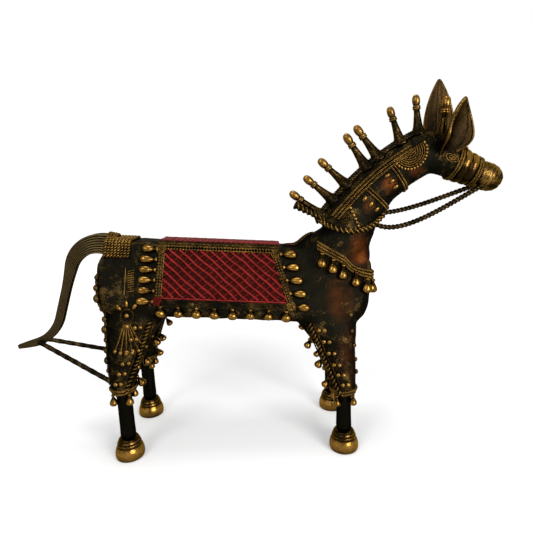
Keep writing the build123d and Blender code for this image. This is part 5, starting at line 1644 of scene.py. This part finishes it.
# %% Bindings and stays
DOCK_FROM, DOCK_TO, DOCK_LIFT = SIDE_SLOPE - 10.5, SIDE_SLOPE - 1.5, 0.4
STAY_SHARE, STAY_Y, STAY_FOOT = 0.86, 3.2, 45.0
binding = []
for station in tail_stations(140)[2:9:2]:
    depth, width = tail_size(station[3])
    binding.append([tail_at(station, (depth / 2 + 0.2) * cos(turn), (width / 2 + 0.4) * sin(turn))
                    for turn in np.linspace(0, 2 * pi, 40)])
dock = []
rises = np.linspace(DOCK_FROM, DOCK_TO, 12)
for x in np.linspace(-78.5, -64.5, 8):
    bow = [(side_at(x, rise, DOCK_LIFT, 1), side_normal(1)) for rise in rises]
    bow += [on_back(x, y, DOCK_LIFT) for y in np.linspace(8.5, -8.5, 14)]
    bow += [(side_at(x, rise, DOCK_LIFT, -1), side_normal(-1)) for rise in rises[::-1]]
    dock.append(bow)
cords("tail_dock_wraps", dock, 1.05, thread_mat, lobes=2, pitch=3.4, depth=0.26)
cords("tail_binding_wraps", binding, 1.0, thread_mat, "tail_binding", pitch=2.6, depth=0.18)
stay_x, stay_z, _, _ = min(stations, key=lambda station: abs(station[3] - STAY_SHARE))
for side, sign in SIDES:
    start = Vector((stay_x, sign * STAY_Y, stay_z)) * MM
    stop = at(-HOOF_X, sign * HOOF_Y, STAY_FOOT)
    bar = [(start + (stop - start) * share, UP) for share in np.linspace(0, 1, 40)]
    cords(f"tail_stay_{side}_bar", [bar], 1.5, bar_mat, f"tail_stay_{side}", lobes=2, depth=0.06, pitch=14.0)
print("pieces:", len(pieces))

# %% [markdown]
# ## Stage, light and camera
#
# The horse stands on a pale floor. More light would make the floor white, but would wash out the brass too.
# So the floor glows a little for the camera alone, less near the horse, where its shadow should be seen.

# %% Floor
FLOOR_HALF = 3.0
GLOW = {"From Min": 0.06, "From Max": 0.5, "To Min": 0.22, "To Max": 0.72}
scene = bpy.context.scene
floor_mesh = bpy.data.meshes.new("floor")
corners = [(-FLOOR_HALF, -FLOOR_HALF, 0), (FLOOR_HALF, -FLOOR_HALF, 0), (FLOOR_HALF, FLOOR_HALF, 0),
           (-FLOOR_HALF, FLOOR_HALF, 0)]
floor_mesh.from_pydata(corners, [], [(0, 1, 2, 3)])
floor = bpy.data.objects.new("floor", floor_mesh)
scene.collection.objects.link(floor)
floor_mat = bpy.data.materials.new("floor_white")
floor_mat.use_nodes = True
tree = floor_mat.node_tree
place = add(tree, "ShaderNodeTexCoord").outputs["Object"]
away = add(tree, "ShaderNodeVectorMath", {0: place}, operation="LENGTH").outputs["Value"]
fade = add(tree, "ShaderNodeMapRange", {"Value": away, **GLOW}, interpolation_type="SMOOTHSTEP")
seen = add(tree, "ShaderNodeLightPath").outputs["Is Camera Ray"]
glow = calc(tree, "MULTIPLY", seen, fade.outputs["Result"])
fill(tree, tree.nodes["Principled BSDF"], {
    "Base Color": (0.85, 0.85, 0.85, 1), "Roughness": 0.9, "Specular IOR Level": 0.0,
    "Emission Color": (1, 1, 1, 1), "Emission Strength": glow})
floor_mesh.materials.append(floor_mat)
print("floor:", 2 * FLOOR_HALF, "m wide")

# %% [markdown]
# Around it is a white world. The camera and the mirror-like metal see it at full strength, and it lights the
# horse with less. Three soft square lamps then give the brass its highlights.

# %% World and lamps
WORLD_LIGHT = 0.4
world = bpy.data.worlds.new("surround")
scene.world = world
world.use_nodes = True
tree = world.node_tree
ray = add(tree, "ShaderNodeLightPath").outputs
seen = calc(tree, "MAXIMUM", ray["Is Camera Ray"], ray["Is Glossy Ray"])
seen = calc(tree, "MAXIMUM", seen, ray["Is Transmission Ray"])
strength = calc(tree, "ADD", WORLD_LIGHT, calc(tree, "MULTIPLY", seen, 1 - WORLD_LIGHT))
fill(tree, tree.nodes["Background"], {"Color": (1, 1, 1, 1), "Strength": strength})


def area_light(name, place, target, size, power):
    """A soft square light aimed at a point."""
    data = bpy.data.lights.new(name, "AREA")
    data.shape = "SQUARE"
    data.size = size
    data.energy = power
    obj = bpy.data.objects.new(name, data)
    obj.location = place
    obj.rotation_euler = (Vector(target) - Vector(place)).to_track_quat("-Z", "Y").to_euler()
    scene.collection.objects.link(obj)


area_light("key", (0.40, -0.58, 0.27), (0, 0, 0.12), 0.36, 5.2)
area_light("fill", (-0.35, -0.55, 0.52), (0, 0, 0.12), 0.3, 1.8)
area_light("top", (0.0, 0.05, 0.9), (0, 0, 0.1), 0.3, 2.0)
print("lamps:", len(bpy.data.lights))

# %% [markdown]
# The camera stands where the photograph was taken from: close to the horse's right side, a little above
# its back, and turned slightly. Its place and its focal length, counted in pixels, were fitted to the
# hooves in the photograph. A longer lens from further off would flatten the horse.

# %% Camera
CAMERA_AT = (23.5, -262.5, 163.2)
YAW, TILT, ROLL = radians(0.14), radians(-10.95), radians(-2.24)
FOCAL_PIXELS, PHOTO_PIXELS, SENSOR = 420.0, 533, 36.0
forward = Vector((-sin(YAW) * cos(TILT), cos(YAW) * cos(TILT), sin(TILT)))
right = Vector((cos(YAW), sin(YAW), 0))
upward = right.cross(forward)
right, upward = right * cos(ROLL) + upward * sin(ROLL), upward * cos(ROLL) - right * sin(ROLL)
camera_data = bpy.data.cameras.new("camera")
camera_data.sensor_width = SENSOR
camera_data.lens = SENSOR * FOCAL_PIXELS / PHOTO_PIXELS
camera_data.clip_start = 0.01
camera = bpy.data.objects.new("camera", camera_data)
facing = Matrix((right, upward, -forward)).transposed().to_4x4()
camera.matrix_world = Matrix.Translation(at(*CAMERA_AT)) @ facing
scene.collection.objects.link(camera)
scene.camera = camera
scene.view_settings.view_transform = "Standard"
print("camera at", [round(v, 4) for v in camera.location])
